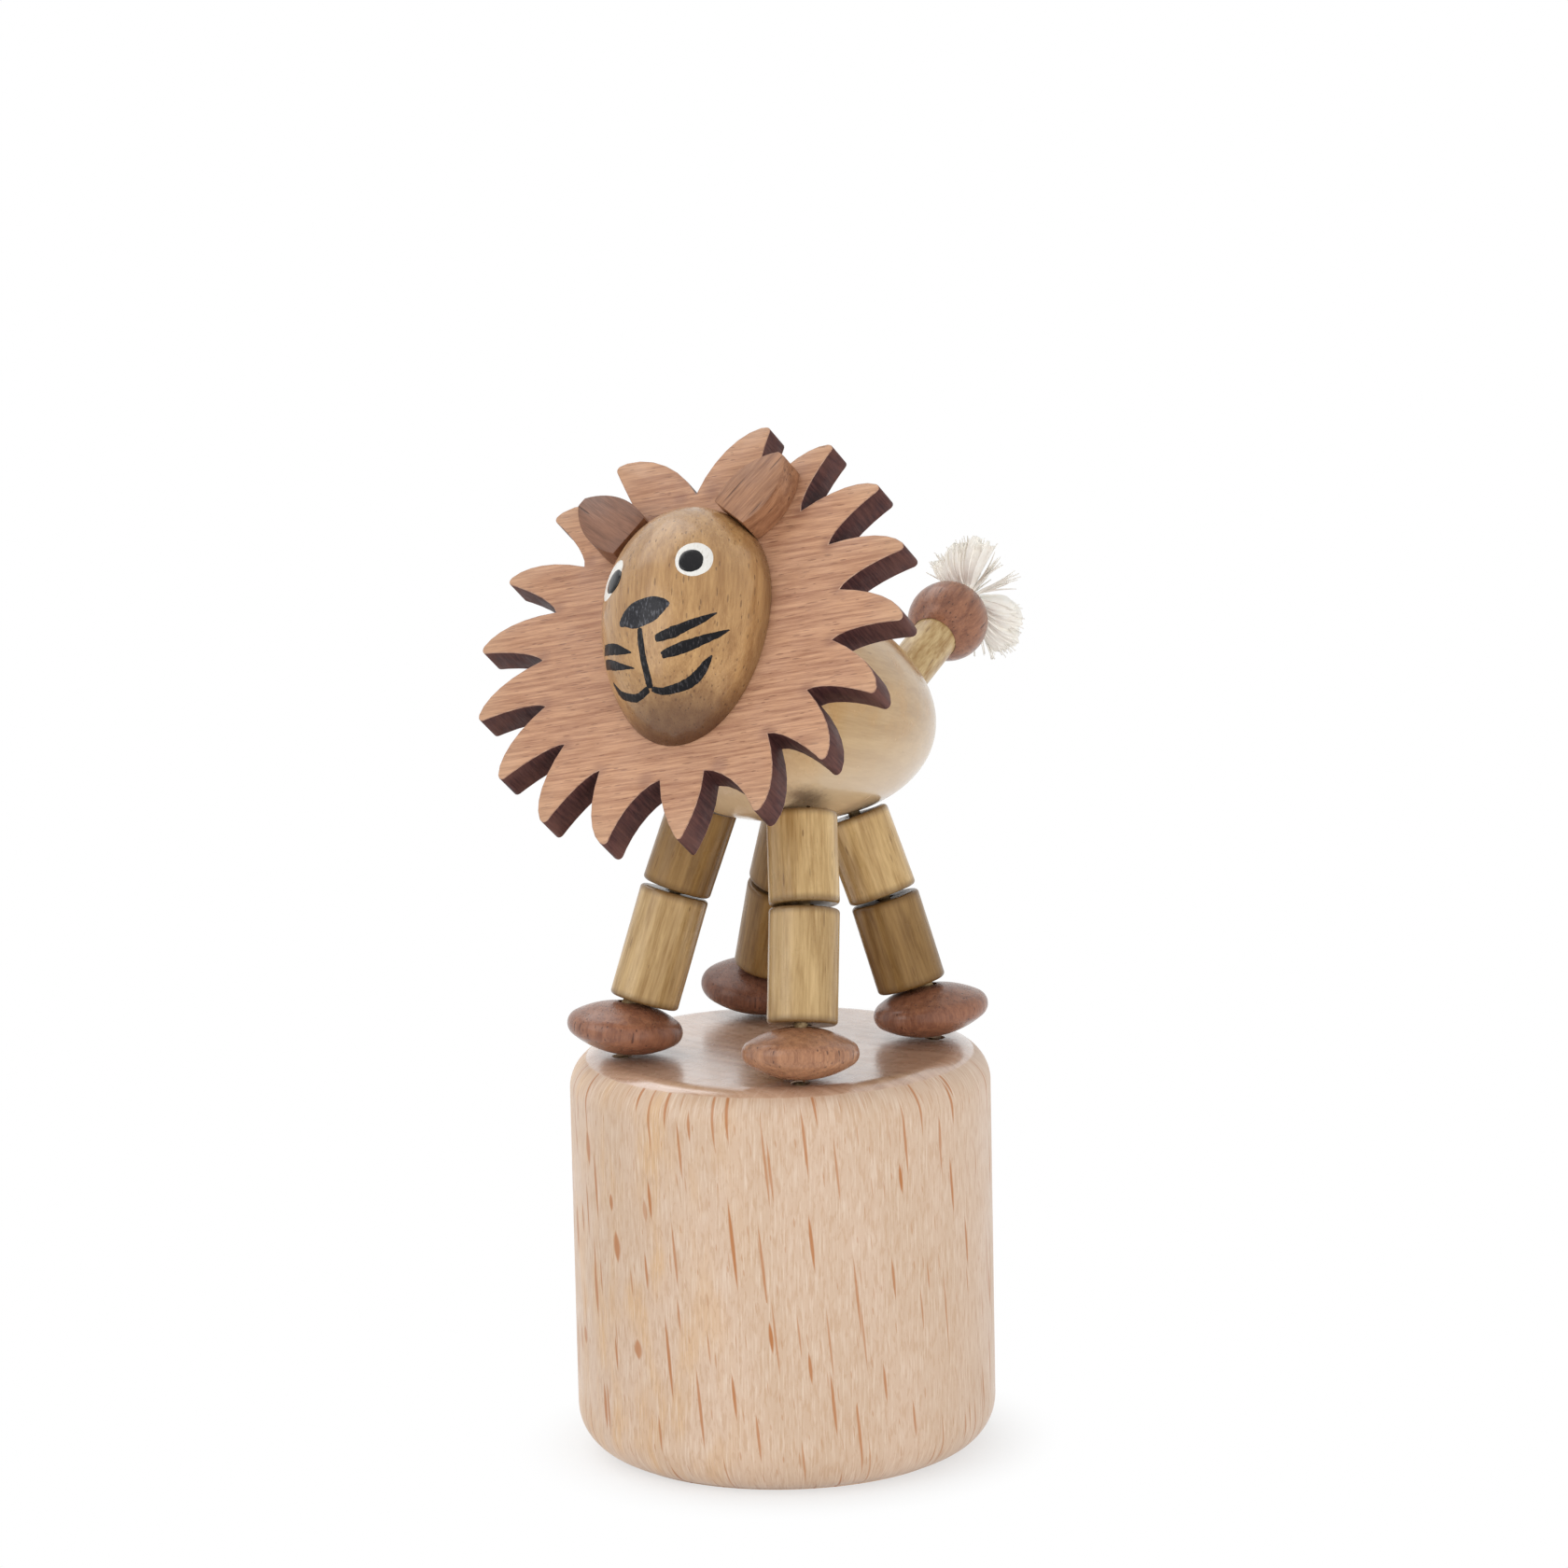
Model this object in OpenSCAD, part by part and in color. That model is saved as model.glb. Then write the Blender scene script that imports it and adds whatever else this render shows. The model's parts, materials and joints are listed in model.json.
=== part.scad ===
// Push puppet: a threaded wooden lion standing on a turned base.
// A sprung button in the base keeps the leg threads tight.
// Pushing the button up slackens them, and the lion bows down.
// Frame: origin at the centre of the base's underside, +Z up, the lion faces -Y.

/* [Base] */
// Diameter of the turned base
base_d = 32; // [28:0.5:40]
// Height of the turned base
base_h = 31; // [26:0.5:40]
// Rounding of the top edge
base_top_round = 2.8; // [1:0.1:4]
// Rounding of the bottom edge
base_bottom_round = 3.6; // [1:0.1:4.5]
// Thickness of the wood above the bore
deck_t = 8; // [6:0.5:10]
// Diameter of the bore that opens below
bore_d = 22; // [18:0.5:24]

/* [Button and spring] */
// Thickness of the push button
button_t = 5; // [4:0.1:6]
// Depth of the button's face inside the bore
button_recess = 4.6; // [1:0.1:6]
// Gap between the button and the bore, on each side
button_clear = 0.3; // [0.2:0.05:0.6]
// Travel of the button
button_travel = 5; // [3:0.5:6]
// Mean diameter of the spring's turns
spring_d = 9; // [7:0.5:11]
// Diameter of the spring's wire
spring_wire = 0.8; // [0.6:0.05:1]
// Number of turns of the spring
spring_turns = 6; // [4:1:8]

/* [Threads] */
// Diameter of the leg and neck threads
thread_d = 0.9; // [0.6:0.05:1.1]
// Gap between a thread and its hole, on each side
thread_clear = 0.3; // [0.2:0.05:0.4]
// Diameter of the knots below the button
knot_d = 2.2; // [1.8:0.1:2.6]

/* [Feet] */
// Diameter of a foot bead
foot_d = 8.8; // [7:0.1:10]
// Thickness of a foot bead
foot_t = 4; // [3:0.1:5]
// Radius of a foot bead's rim
foot_rim = 1.0; // [0.3:0.1:1.5]
// Distance of the feet from the middle, to each side
foot_x = 8.2; // [6.5:0.1:9]
// Distance of the front feet from the middle
front_foot_y = 8.5; // [7:0.1:9.5]
// Distance of the rear feet from the middle
rear_foot_y = 8.4; // [7:0.1:9.5]
// Share of the leg's lean that the foot follows
foot_lean = 0.48; // [0:0.02:0.8]
// Gap below a foot
foot_gap = 0.12; // [0.05:0.01:0.3]

/* [Legs] */
// Diameter of the leg beads
leg_d = 5.3; // [4:0.1:6.5]
// Rounding of the leg beads' edges
leg_edge = 0.3; // [0.1:0.05:0.8]
// Length of a front lower leg
front_lower_l = 8.7; // [6:0.1:12]
// Length of a front upper leg
front_upper_l = 7.0; // [5:0.1:10]
// Length of a rear lower leg
rear_lower_l = 7.0; // [5:0.1:10]
// Length of a rear upper leg
rear_upper_l = 6.5; // [5:0.1:10]
// Sideways lean of the front legs
front_lean_side = 9.5; // [0:0.5:20]
// Backward lean of the front legs
front_lean_back = 16.5; // [0:0.5:20]
// Sideways lean of the rear legs
rear_lean_side = 16.5; // [0:0.5:20]
// Forward lean of the rear legs
rear_lean_fore = 5.6; // [0:0.1:20]
// Extra sideways lean of the upper legs
knee_bend = 3.3; // [0:0.1:6]
// Gap between beads on a thread
bead_gap = 0.12; // [0.05:0.01:0.3]

/* [Torso] */
// Largest diameter of the turned torso
torso_d = 17.9; // [14:0.1:22]
// Length from the largest diameter to the rear
torso_rear = 20.8; // [16:0.1:26]
// Length from the largest diameter to the front
torso_front = 6.8; // [5:0.1:10]
// Front hips behind the largest diameter
hip_station = 2.0; // [0:0.1:4]
// Gap between a leg and the torso
hip_gap = 0.2; // [0.1:0.05:0.4]

/* [Head] */
// Angle of the head's axis above the torso's axis
head_up = 22.1; // [0:0.1:40]
// Turn of the head towards its left
head_yaw = 2.6; // [-5:0.1:5]
// Roll of the head on its thread
head_roll = 20.5; // [-40:0.5:40]
// Gap between the mane and the torso
neck_gap = 0.4; // [0.3:0.05:0.8]
// Diameter over the tips of the mane
mane_d = 35.7; // [30:0.1:42]
// Diameter over the roots of the teeth
mane_root_d = 24.6; // [20:0.1:30]
// Turn of the right half's upper teeth away from the parting
mane_skew = 3.7; // [0:0.1:5]
// Thickness of the mane plate
mane_t = 2.5; // [1.5:0.1:4]
// Width of the face
face_w = 13.5; // [10:0.1:16]
// Height of the face
face_h = 20.1; // [14:0.1:22]
// Depth of the face
face_depth = 6.2; // [4:0.1:6.5]
// Height of the face's middle above the mane's middle
face_rise = 0.4; // [-1:0.1:1]
// Width of an ear
ear_w = 4.2; // [3:0.05:6]
// Length of an ear beyond the face
ear_l = 5.6; // [4:0.1:7]
// Thickness of an ear
ear_t = 2.5; // [1.5:0.1:3]
// Angle of an ear from upright
ear_angle = 46; // [30:1:60]

/* [Tail] */
// Diameter of the tail stem
tail_d = 3.6; // [2.5:0.1:4.5]
// Step from the tail stem down to its spigot in the bead
spigot_step = 1.3; // [0.8:0.1:2]
// Distance from the torso to the middle of the tail bead
tail_l = 8.8; // [6:0.1:12]
// Angle of the tail above the torso's axis
tail_up = 39; // [20:0.5:70]
// Angle of the tail to the lion's right
tail_side = 7; // [-15:0.5:15]
// Place of the tail along the torso's rear half
tail_station = 18.8; // [15:0.1:20]
// Diameter of the tail bead
tail_bead_d = 6.3; // [5:0.1:8]
// Reach of the tuft from the tail's axis
tuft_r = 5.2; // [3.5:0.1:6]
// Way that the tuft's upper half falls, round the tail from the lion's left
tuft_high_angle = 262; // [220:1:300]
// Way that the tuft's lower half falls, round the tail from the lion's left
tuft_low_angle = 55; // [20:1:110]

/* [Hidden] */
$fn = 96;
// Cutters reach this far past the faces they open
cut_over = 1;

// Gap of a glued joint
glue = 0.04;
// Bends in a thread are a little fuller than the thread
bend_d = thread_d + 0.08;
// Turn of a round rod about its own axis
rod_turn = 37;
thread_hole_d = thread_d + 2 * thread_clear;
base_r = base_d / 2;
bore_r = bore_d / 2;
deck_z = base_h - deck_t;
button_r = bore_r - button_clear;
button_top = button_recess + button_t;
seat_depth = 1;
seat_r = spring_d / 2 + spring_wire;
// Circle of the thread holes in the button, and of the hole mouths below the deck
button_hole_r = button_r - knot_d / 2 - 1.4;
deck_hole_r = bore_r - thread_hole_d / 2 - 0.4;
leg_r = leg_d / 2;
torso_r = torso_d / 2;

function unit(v) = v / norm(v);
function xy(v) = [v.x, v.y, 0];

// The rounding of a foot bead's two domes, which meet the rim smoothly
foot_dome = (pow(foot_d / 2 - foot_rim, 2) + foot_t * foot_t / 4 - foot_rim * foot_rim)
  / (foot_t - 2 * foot_rim);
foot_drop = foot_dome - foot_t / 2;

// A leg is named by its side (1 left, -1 right) and its end (-1 front, 1 rear)
function foot_spot(s, e) = [s * foot_x, e < 0 ? -front_foot_y : rear_foot_y, 0];
function leg_dir(s, e, more) = unit([
  -s * tan((e < 0 ? front_lean_side : rear_lean_side) + more),
  e < 0 ? tan(front_lean_back) : -tan(rear_lean_fore),
  1
]);
function lower_l(e) = e < 0 ? front_lower_l : rear_lower_l;
function upper_l(e) = e < 0 ? front_upper_l : rear_upper_l;
function lower_dir(s, e) = leg_dir(s, e, 0);
function upper_dir(s, e) = leg_dir(s, e, knee_bend);
function foot_dir(s, e) = unit([foot_lean * lower_dir(s, e).x, foot_lean * lower_dir(s, e).y, 1]);
function foot_under(s, e) = foot_spot(s, e) + foot_drop * xy(foot_dir(s, e))
  + [0, 0, base_h + foot_gap + foot_dome];
function foot_mid(s, e) = foot_under(s, e) - foot_drop * foot_dir(s, e);
function foot_over(s, e) = foot_mid(s, e) - foot_drop * foot_dir(s, e);
function ankle(s, e) = foot_over(s, e) + (foot_dome + bead_gap) * lower_dir(s, e);
function knee_low(s, e) = ankle(s, e) + lower_l(e) * lower_dir(s, e);
function knee_up(s, e) = knee_low(s, e)
  + (bead_gap + leg_r * sin(knee_bend)) * unit(lower_dir(s, e) + upper_dir(s, e));
function hip(s, e) = knee_up(s, e) + upper_l(e) * upper_dir(s, e);

// The torso rests on the four hips
function egg_r(a) = torso_r * sqrt(max(0, 1 - pow(a / (a < 0 ? torso_front : torso_rear), 2)));
function belly(a, x) = sqrt(max(0.01, pow(egg_r(a), 2) - x * x)) + hip_gap;
hip_f = hip(1, -1);
hip_r = hip(1, 1);
hip_span = norm([hip_r.y - hip_f.y, hip_r.z - hip_f.z]);
belly_f = belly(hip_station, hip_f.x);
function rear_station(k) = k == 0 ? hip_station + hip_span :
  hip_station + sqrt(pow(hip_span, 2) - pow(belly_f - belly(rear_station(k - 1), hip_r.x), 2));
hip_station_r = rear_station(6);
belly_r = belly(hip_station_r, hip_r.x);
torso_pitch = atan2(hip_r.z - hip_f.z, hip_r.y - hip_f.y)
  - atan2(belly_f - belly_r, hip_station_r - hip_station);
torso_y = hip_f.y - hip_station * cos(torso_pitch) - belly_f * sin(torso_pitch);
torso_z = hip_f.z - hip_station * sin(torso_pitch) + belly_f * cos(torso_pitch);

// The mane lies flat against the front of the torso
neck_mouth = 1 / sqrt(pow(cos(head_up) / torso_front, 2) + pow(sin(head_up) / torso_r, 2));
neck_touch = sqrt(pow(torso_front * cos(head_up), 2) + pow(torso_r * sin(head_up), 2));
mane_back = neck_touch + neck_gap;
neck_peg = 3.2;
tail_root_r = torso_r * sqrt(max(0, 1 - pow(tail_station / torso_rear, 2)));
tail_socket = 4;
spigot_d = tail_d - spigot_step;
spigot_l = tail_bead_d / 2 - 0.6;
bead_seat = tail_bead_d / 2 - sqrt(pow(tail_bead_d, 2) - pow(tail_d, 2)) / 2 + 0.2;

// The head's egg is cut lengthwise, a little off its middle
face_r = face_w / 2;
face_up = face_h * 0.448;
face_cut = face_r - face_depth;

module along(p, d) {
  translate(p) rotate([0, acos(d.z), atan2(d.y, d.x)]) children();
}
module rod(a, b, d) {
  along(a, unit(b - a)) rotate(rod_turn) cylinder(d = d, h = norm(b - a));
}
module in_torso() {
  translate([0, torso_y, torso_z]) rotate([torso_pitch, 0, 0]) children();
}
module in_neck() {
  in_torso() rotate([90 - head_up, 0, 0]) children();
}
module in_head() {
  in_neck() translate([0, 0, mane_back]) rotate([0, head_yaw, 0]) rotate([0, 0, head_roll]) children();
}
module in_tail() {
  in_torso() translate([0, tail_station, tail_root_r]) rotate([tail_up - 90, 0, 0])
    rotate([0, -tail_side, 0]) children();
}

// Half profile of a post with rounded edges
module post_profile(r, h, low, top) {
  intersection() {
    square([r + 1, h]);
    union() {
      translate([0, low]) square([r, h - low - top]);
      square([r - low, h]);
      square([r - top, h]);
      translate([r - low, low]) circle(low);
      translate([r - top, h - top]) circle(top);
    }
  }
}
// Half profile of an egg, from its widest place
module egg_profile(r, up, down) {
  union() {
    intersection() {
      scale([r, up]) circle(1);
      square([r + 1, up + 1]);
    }
    intersection() {
      scale([r, down]) circle(1);
      translate([0, -down - 1]) square([r + 1, down + 1]);
    }
  }
}
module egg(r, up, down) {
  rotate([-90, 0, 0]) rotate_extrude() egg_profile(r, up, down);
}
module torso_egg(more) {
  in_torso() egg(torso_r + more, torso_rear + more, torso_front + more);
}

// Thread route in the base, for one leg
function thread_way(s, e) = unit(xy(foot_spot(s, e)));
function thread_low(s, e) = thread_way(s, e) * button_hole_r;
function thread_bend(s, e) = thread_way(s, e) * deck_hole_r + [0, 0, deck_z];
function thread_top(s, e) = xy(foot_mid(s, e) - foot_t / 2 * foot_dir(s, e)) + [0, 0, base_h];
knot_z = button_recess + 1.3;

module base_block() {
  color("BurlyWood") difference() {
    rotate_extrude() post_profile(base_r, base_h, base_bottom_round, base_top_round);
    translate([0, 0, -cut_over]) cylinder(r = bore_r, h = deck_z + cut_over);
    for (s = [-1, 1], e = [-1, 1])
      let (d = unit(thread_top(s, e) - thread_bend(s, e)))
        rod(thread_bend(s, e) - d, thread_top(s, e) + d, thread_hole_d);
  }
}
module push_button() {
  color("Tan") difference() {
    translate([0, 0, button_recess]) rotate_extrude() post_profile(button_r, button_t, 0.6, 0.6);
    translate([0, 0, button_top - seat_depth]) cylinder(r = seat_r, h = seat_depth + cut_over);
    for (s = [-1, 1], e = [-1, 1]) translate(thread_low(s, e)) {
      cylinder(d = thread_hole_d + 0.3, h = button_top + cut_over);
      cylinder(d = knot_d + 0.8, h = knot_z + knot_d / 2 + 0.1);
    }
  }
}
// One steady coil of round wire
spring_low = button_top - seat_depth + spring_wire / 2 + 0.05;
spring_high = deck_z - spring_wire / 2 - 0.05;
spring_steps = spring_turns * 8;
function spring_mid(i) = [
  spring_d / 2 * cos(45 * i),
  spring_d / 2 * sin(45 * i),
  spring_low + (spring_high - spring_low) * i / spring_steps
];
function spring_ring(i) = let (
    rise = (spring_high - spring_low) / spring_turns / (PI * spring_d),
    out = [cos(45 * i), sin(45 * i), 0],
    up = unit([rise * sin(45 * i), -rise * cos(45 * i), 1])
  ) [for (k = [0:5]) spring_mid(i) + spring_wire / 2 * (cos(60 * k) * out + sin(60 * k) * up)];
spring_gap = min([for (i = [0:spring_steps]) for (j = [0:spring_steps]) if (j > i + 4)
  norm(spring_mid(j) - spring_mid(i))]) - spring_wire;
// Room left between the turns at the end of the button's travel
spring_room = spring_high - spring_low - button_travel - spring_turns * spring_wire;
module return_spring() {
  echo(spring_least_gap = spring_gap, room_left_when_pushed = spring_room);
  rings = [for (i = [0:spring_steps]) each spring_ring(i)];
  sides = [for (i = [0:spring_steps - 1]) for (k = [0:5]) let (a = 6 * i + k, b = 6 * i + (k + 1) % 6)
    each [[a, a + 6, b + 6], [a, b + 6, b]]];
  last = 6 * spring_steps;
  color("Silver") polyhedron(rings, concat(sides, [[0, 1, 2, 3, 4, 5]],
    [[last + 5, last + 4, last + 3, last + 2, last + 1, last]]));
}
module thread_knots() {
  color("Ivory") for (s = [-1, 1], e = [-1, 1])
    translate(thread_low(s, e) + [0, 0, knot_z]) sphere(d = knot_d);
}
module base_threads() {
  color("Ivory") for (s = [-1, 1], e = [-1, 1])
    let (d = unit(thread_top(s, e) - thread_bend(s, e))) union() {
      rod(thread_low(s, e) + [0, 0, knot_z + knot_d / 2 + 0.05],
        thread_low(s, e) + [0, 0, button_top], thread_d);
      translate(thread_low(s, e) + [0, 0, button_top]) sphere(d = bend_d);
      rod(thread_low(s, e) + [0, 0, button_top], thread_bend(s, e), thread_d);
      translate(thread_bend(s, e)) sphere(d = bend_d);
      rod(thread_bend(s, e), thread_top(s, e) - 0.15 * d, thread_d);
    }
}

module foot_bead(s, e) {
  edge_x = foot_d / 2 - foot_rim + foot_rim * (foot_d / 2 - foot_rim) / (foot_dome - foot_rim);
  color("Sienna") along(foot_mid(s, e), foot_dir(s, e)) difference() {
    rotate_extrude() union() {
      intersection() {
        translate([0, -foot_drop]) circle(foot_dome);
        translate([0, foot_drop]) circle(foot_dome);
        translate([0, -foot_t]) square([edge_x, 2 * foot_t]);
      }
      translate([foot_d / 2 - foot_rim, 0]) circle(foot_rim);
    }
    translate([0, 0, -foot_t]) cylinder(d = thread_hole_d, h = 2 * foot_t);
  }
}
module leg_bead(p, d, l) {
  along(p, d) difference() {
    rotate_extrude() post_profile(leg_r, l, leg_edge, leg_edge);
    translate([0, 0, -cut_over]) cylinder(d = thread_hole_d, h = l + 2 * cut_over);
  }
}
module lower_leg(s, e) {
  color("Peru") leg_bead(ankle(s, e), lower_dir(s, e), lower_l(e));
}
module upper_leg(s, e) {
  color("Peru") difference() {
    leg_bead(knee_up(s, e), upper_dir(s, e), upper_l(e));
    torso_egg(hip_gap);
  }
}
module foot_thread(s, e) {
  color("Ivory") rod(foot_mid(s, e) - (foot_t / 2 - 0.02) * foot_dir(s, e),
    foot_mid(s, e) + (foot_t / 2 - 0.02) * foot_dir(s, e), thread_d);
}
module lower_thread(s, e) {
  color("Ivory") rod(ankle(s, e), knee_low(s, e), thread_d);
}
module upper_thread(s, e) {
  color("Ivory") difference() {
    rod(knee_up(s, e), hip(s, e), thread_d);
    torso_egg(hip_gap);
  }
}

module front_left_foot() { foot_bead(1, -1); }
module front_right_foot() { foot_bead(-1, -1); }
module rear_left_foot() { foot_bead(1, 1); }
module rear_right_foot() { foot_bead(-1, 1); }
module front_left_lower_leg() { lower_leg(1, -1); }
module front_right_lower_leg() { lower_leg(-1, -1); }
module rear_left_lower_leg() { lower_leg(1, 1); }
module rear_right_lower_leg() { lower_leg(-1, 1); }
module front_left_upper_leg() { upper_leg(1, -1); }
module front_right_upper_leg() { upper_leg(-1, -1); }
module rear_left_upper_leg() { upper_leg(1, 1); }
module rear_right_upper_leg() { upper_leg(-1, 1); }
module front_left_foot_thread() { foot_thread(1, -1); }
module front_right_foot_thread() { foot_thread(-1, -1); }
module rear_left_foot_thread() { foot_thread(1, 1); }
module rear_right_foot_thread() { foot_thread(-1, 1); }
module front_left_lower_thread() { lower_thread(1, -1); }
module front_right_lower_thread() { lower_thread(-1, -1); }
module rear_left_lower_thread() { lower_thread(1, 1); }
module rear_right_lower_thread() { lower_thread(-1, 1); }
module front_left_upper_thread() { upper_thread(1, -1); }
module front_right_upper_thread() { upper_thread(-1, -1); }
module rear_left_upper_thread() { upper_thread(1, 1); }
module rear_right_upper_thread() { upper_thread(-1, 1); }

// Hip mouths in the torso's own frame, and the place where both threads of a pair meet
function hip_local(s, e) = e < 0 ? [s * hip_f.x, hip_station, -belly_f]
  : [s * hip_r.x, hip_station_r, -belly_r];
function hip_apex(e) = e < 0 ? [0, 0, 0] : [0, hip_station_r, -belly_r * 0.3];
function hip_mouth(s, e) = hip_local(s, e) + (hip_gap + 0.1) * unit(hip_apex(e) - hip_local(s, e));

module torso() {
  color("Wheat") difference() {
    torso_egg(0);
    in_torso() for (s = [-1, 1], e = [-1, 1])
      rod(hip_local(s, e) - unit(hip_apex(e) - hip_local(s, e)), hip_apex(e), thread_hole_d);
    in_torso() for (e = [-1, 1]) translate(hip_apex(e)) sphere(d = thread_hole_d + 0.2);
    in_neck() cylinder(d = thread_hole_d, h = torso_r + cut_over);
    in_tail() translate([0, 0, -tail_socket]) cylinder(d = tail_d + 2 * glue, h = tail_socket + tail_d);
  }
}
module front_body_thread() {
  color("Ivory") union() {
    in_torso() rod(hip_mouth(1, -1), hip_apex(-1), thread_d);
    in_torso() rod(hip_mouth(-1, -1), hip_apex(-1), thread_d);
    in_neck() cylinder(d = thread_d, h = neck_mouth - 0.1);
    in_torso() sphere(d = bend_d);
  }
}
module rear_body_thread() {
  color("Ivory") in_torso() union() {
    rod(hip_mouth(1, 1), hip_apex(1), thread_d);
    rod(hip_mouth(-1, 1), hip_apex(1), thread_d);
    translate(hip_apex(1)) sphere(d = bend_d);
  }
}
module neck_thread() {
  color("Ivory") in_neck() translate([0, 0, neck_mouth])
    cylinder(d = thread_d, h = mane_back - neck_mouth + mane_t + neck_peg - 0.3);
}

// The mane's teeth lean down on both sides of the parting and meet at the chin
tooth_step = 20;
tooth_back = 6;
chin_notch = 171.5;
function polar(a, r) = [r * sin(a), r * cos(a)];
function notch(k, skew) = k == 0 ? 0 : k == 8 ? chin_notch : tooth_step * k + tooth_back
  + (k == 1 ? -skew : skew * max(0, 1 - k / 6));
function tooth(k, skew) = let (a0 = notch(k - 1, skew), a2 = notch(k, skew),
    a1 = tooth_step * k + skew * (1 - k / 9), r0 = mane_root_d / 2, r1 = mane_d / 2) concat(
  [for (i = [0:7]) let (u = i / 7) polar(a0 + (a1 - a0) * u, r0 + (r1 - r0) * (1 - pow(1 - u, 1.75)))],
  [for (i = [1:6]) let (u = i / 7) polar(a1 + (a2 - a1) * pow(u, 2.2), r0 + (r1 - r0) * pow(1 - u, 1.4))]
);
function half_mane(skew) = concat(
  [for (k = [1:8]) each tooth(k, skew)],
  [for (i = [0:4]) let (u = i / 5)
    polar(chin_notch + (180 - chin_notch) * u, mane_root_d / 2 + (mane_d - mane_root_d) / 2 * pow(u, 0.8))]
);
left_mane = half_mane(0);
right_mane = half_mane(mane_skew);
mane_outline = concat(
  left_mane, [polar(180, mane_d / 2)],
  [for (i = [1:len(right_mane) - 1]) let (p = right_mane[len(right_mane) - i]) [-p.x, p.y]]
);
module neck_bore(z, h) {
  in_neck() translate([0, 0, z]) cylinder(d = thread_hole_d, h = h);
}
module mane() {
  color("RosyBrown") difference() {
    in_head() linear_extrude(mane_t) polygon(mane_outline);
    neck_bore(mane_back - cut_over, mane_t + 2 * cut_over);
  }
}
module face_egg(more) {
  translate([0, face_rise + face_h / 2 - face_up, mane_t + glue - face_cut])
    egg(face_r + more, face_up + more, face_h - face_up + more);
}
module face() {
  color("Goldenrod") difference() {
    in_head() intersection() {
      face_egg(0);
      translate([-face_w, -face_h, mane_t + glue]) cube([2 * face_w, 2 * face_h, face_w]);
    }
    neck_bore(mane_back, mane_t + neck_peg);
  }
}
module ear(s) {
  reach = ear_l + 0.3;
  wide = ear_l * 0.3;
  bow = (pow(reach - wide, 2) + pow(ear_w / 2, 2)) / ear_w;
  color("SaddleBrown") in_head() difference() {
    translate([s * face_r * 0.64, face_rise + face_h * 0.392, mane_t + glue])
      rotate([0, 0, -s * ear_angle]) linear_extrude(ear_t) intersection() {
        translate([bow - ear_w / 2, wide]) circle(bow);
        translate([ear_w / 2 - bow, wide]) circle(bow);
        translate([0, ear_l * 0.25]) circle(ear_l * 0.75);
        translate([-ear_w, -ear_l * 0.04]) square([2 * ear_w, 2 * ear_l]);
      }
    face_egg(glue);
  }
}
module left_ear() { ear(1); }
module right_ear() { ear(-1); }

module tail_stem() {
  color("Peru") in_tail() union() {
    translate([0, 0, glue - tail_socket])
      cylinder(d = tail_d, h = tail_socket - glue + tail_l - tail_bead_d / 2 + bead_seat);
    cylinder(d = spigot_d, h = tail_l - tail_bead_d / 2 + spigot_l);
  }
}
module tail_bead() {
  color("Sienna") in_tail() difference() {
    translate([0, 0, tail_l]) sphere(d = tail_bead_d);
    translate([0, 0, tail_l - tail_bead_d]) cylinder(d = spigot_d + 2 * glue, h = 2 * tail_bead_d);
    translate([0, 0, tail_l - tail_bead_d])
      cylinder(d = tail_d + 2 * glue, h = tail_bead_d / 2 + bead_seat + glue);
  }
}
module tail_tuft() {
  color("FloralWhite") in_tail() translate([0, 0, tail_l]) difference() {
    union() {
      translate([0, 0, 0.3]) cylinder(d = spigot_d, h = tail_bead_d / 2 + 1);
      for (way = [tuft_high_angle, tuft_low_angle])
        rotate(way) translate([tuft_r * 0.46, 0, tail_bead_d / 2 + tuft_r * 0.17]) rotate([0, 14, 0])
          scale([tuft_r * 0.55, tuft_r * 0.58, tuft_r * 0.36]) sphere(1);
    }
    difference() {
      sphere(d = tail_bead_d + 2 * glue);
      translate([0, 0, -tail_bead_d]) cylinder(d = spigot_d, h = 2 * tail_bead_d);
    }
  }
}

base_block();
push_button();
return_spring();
thread_knots();
base_threads();
front_left_foot();
front_left_lower_leg();
front_left_upper_leg();
front_right_foot();
front_right_lower_leg();
front_right_upper_leg();
rear_left_foot();
rear_left_lower_leg();
rear_left_upper_leg();
rear_right_foot();
rear_right_lower_leg();
rear_right_upper_leg();
front_left_foot_thread();
front_left_lower_thread();
front_left_upper_thread();
front_right_foot_thread();
front_right_lower_thread();
front_right_upper_thread();
rear_left_foot_thread();
rear_left_lower_thread();
rear_left_upper_thread();
rear_right_foot_thread();
rear_right_lower_thread();
rear_right_upper_thread();
torso();
front_body_thread();
rear_body_thread();
neck_thread();
mane();
face();
left_ear();
right_ear();
tail_stem();
tail_bead();
tail_tuft();
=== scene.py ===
"""Push puppet: a threaded wooden lion on a turned beech base, in a white studio."""
import json
import math
import random
from functools import partialmethod
from typing import NamedTuple

import bmesh
import bpy
import numpy as np
from mathutils import Matrix, Vector
from mathutils.bvhtree import BVHTree


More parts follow.
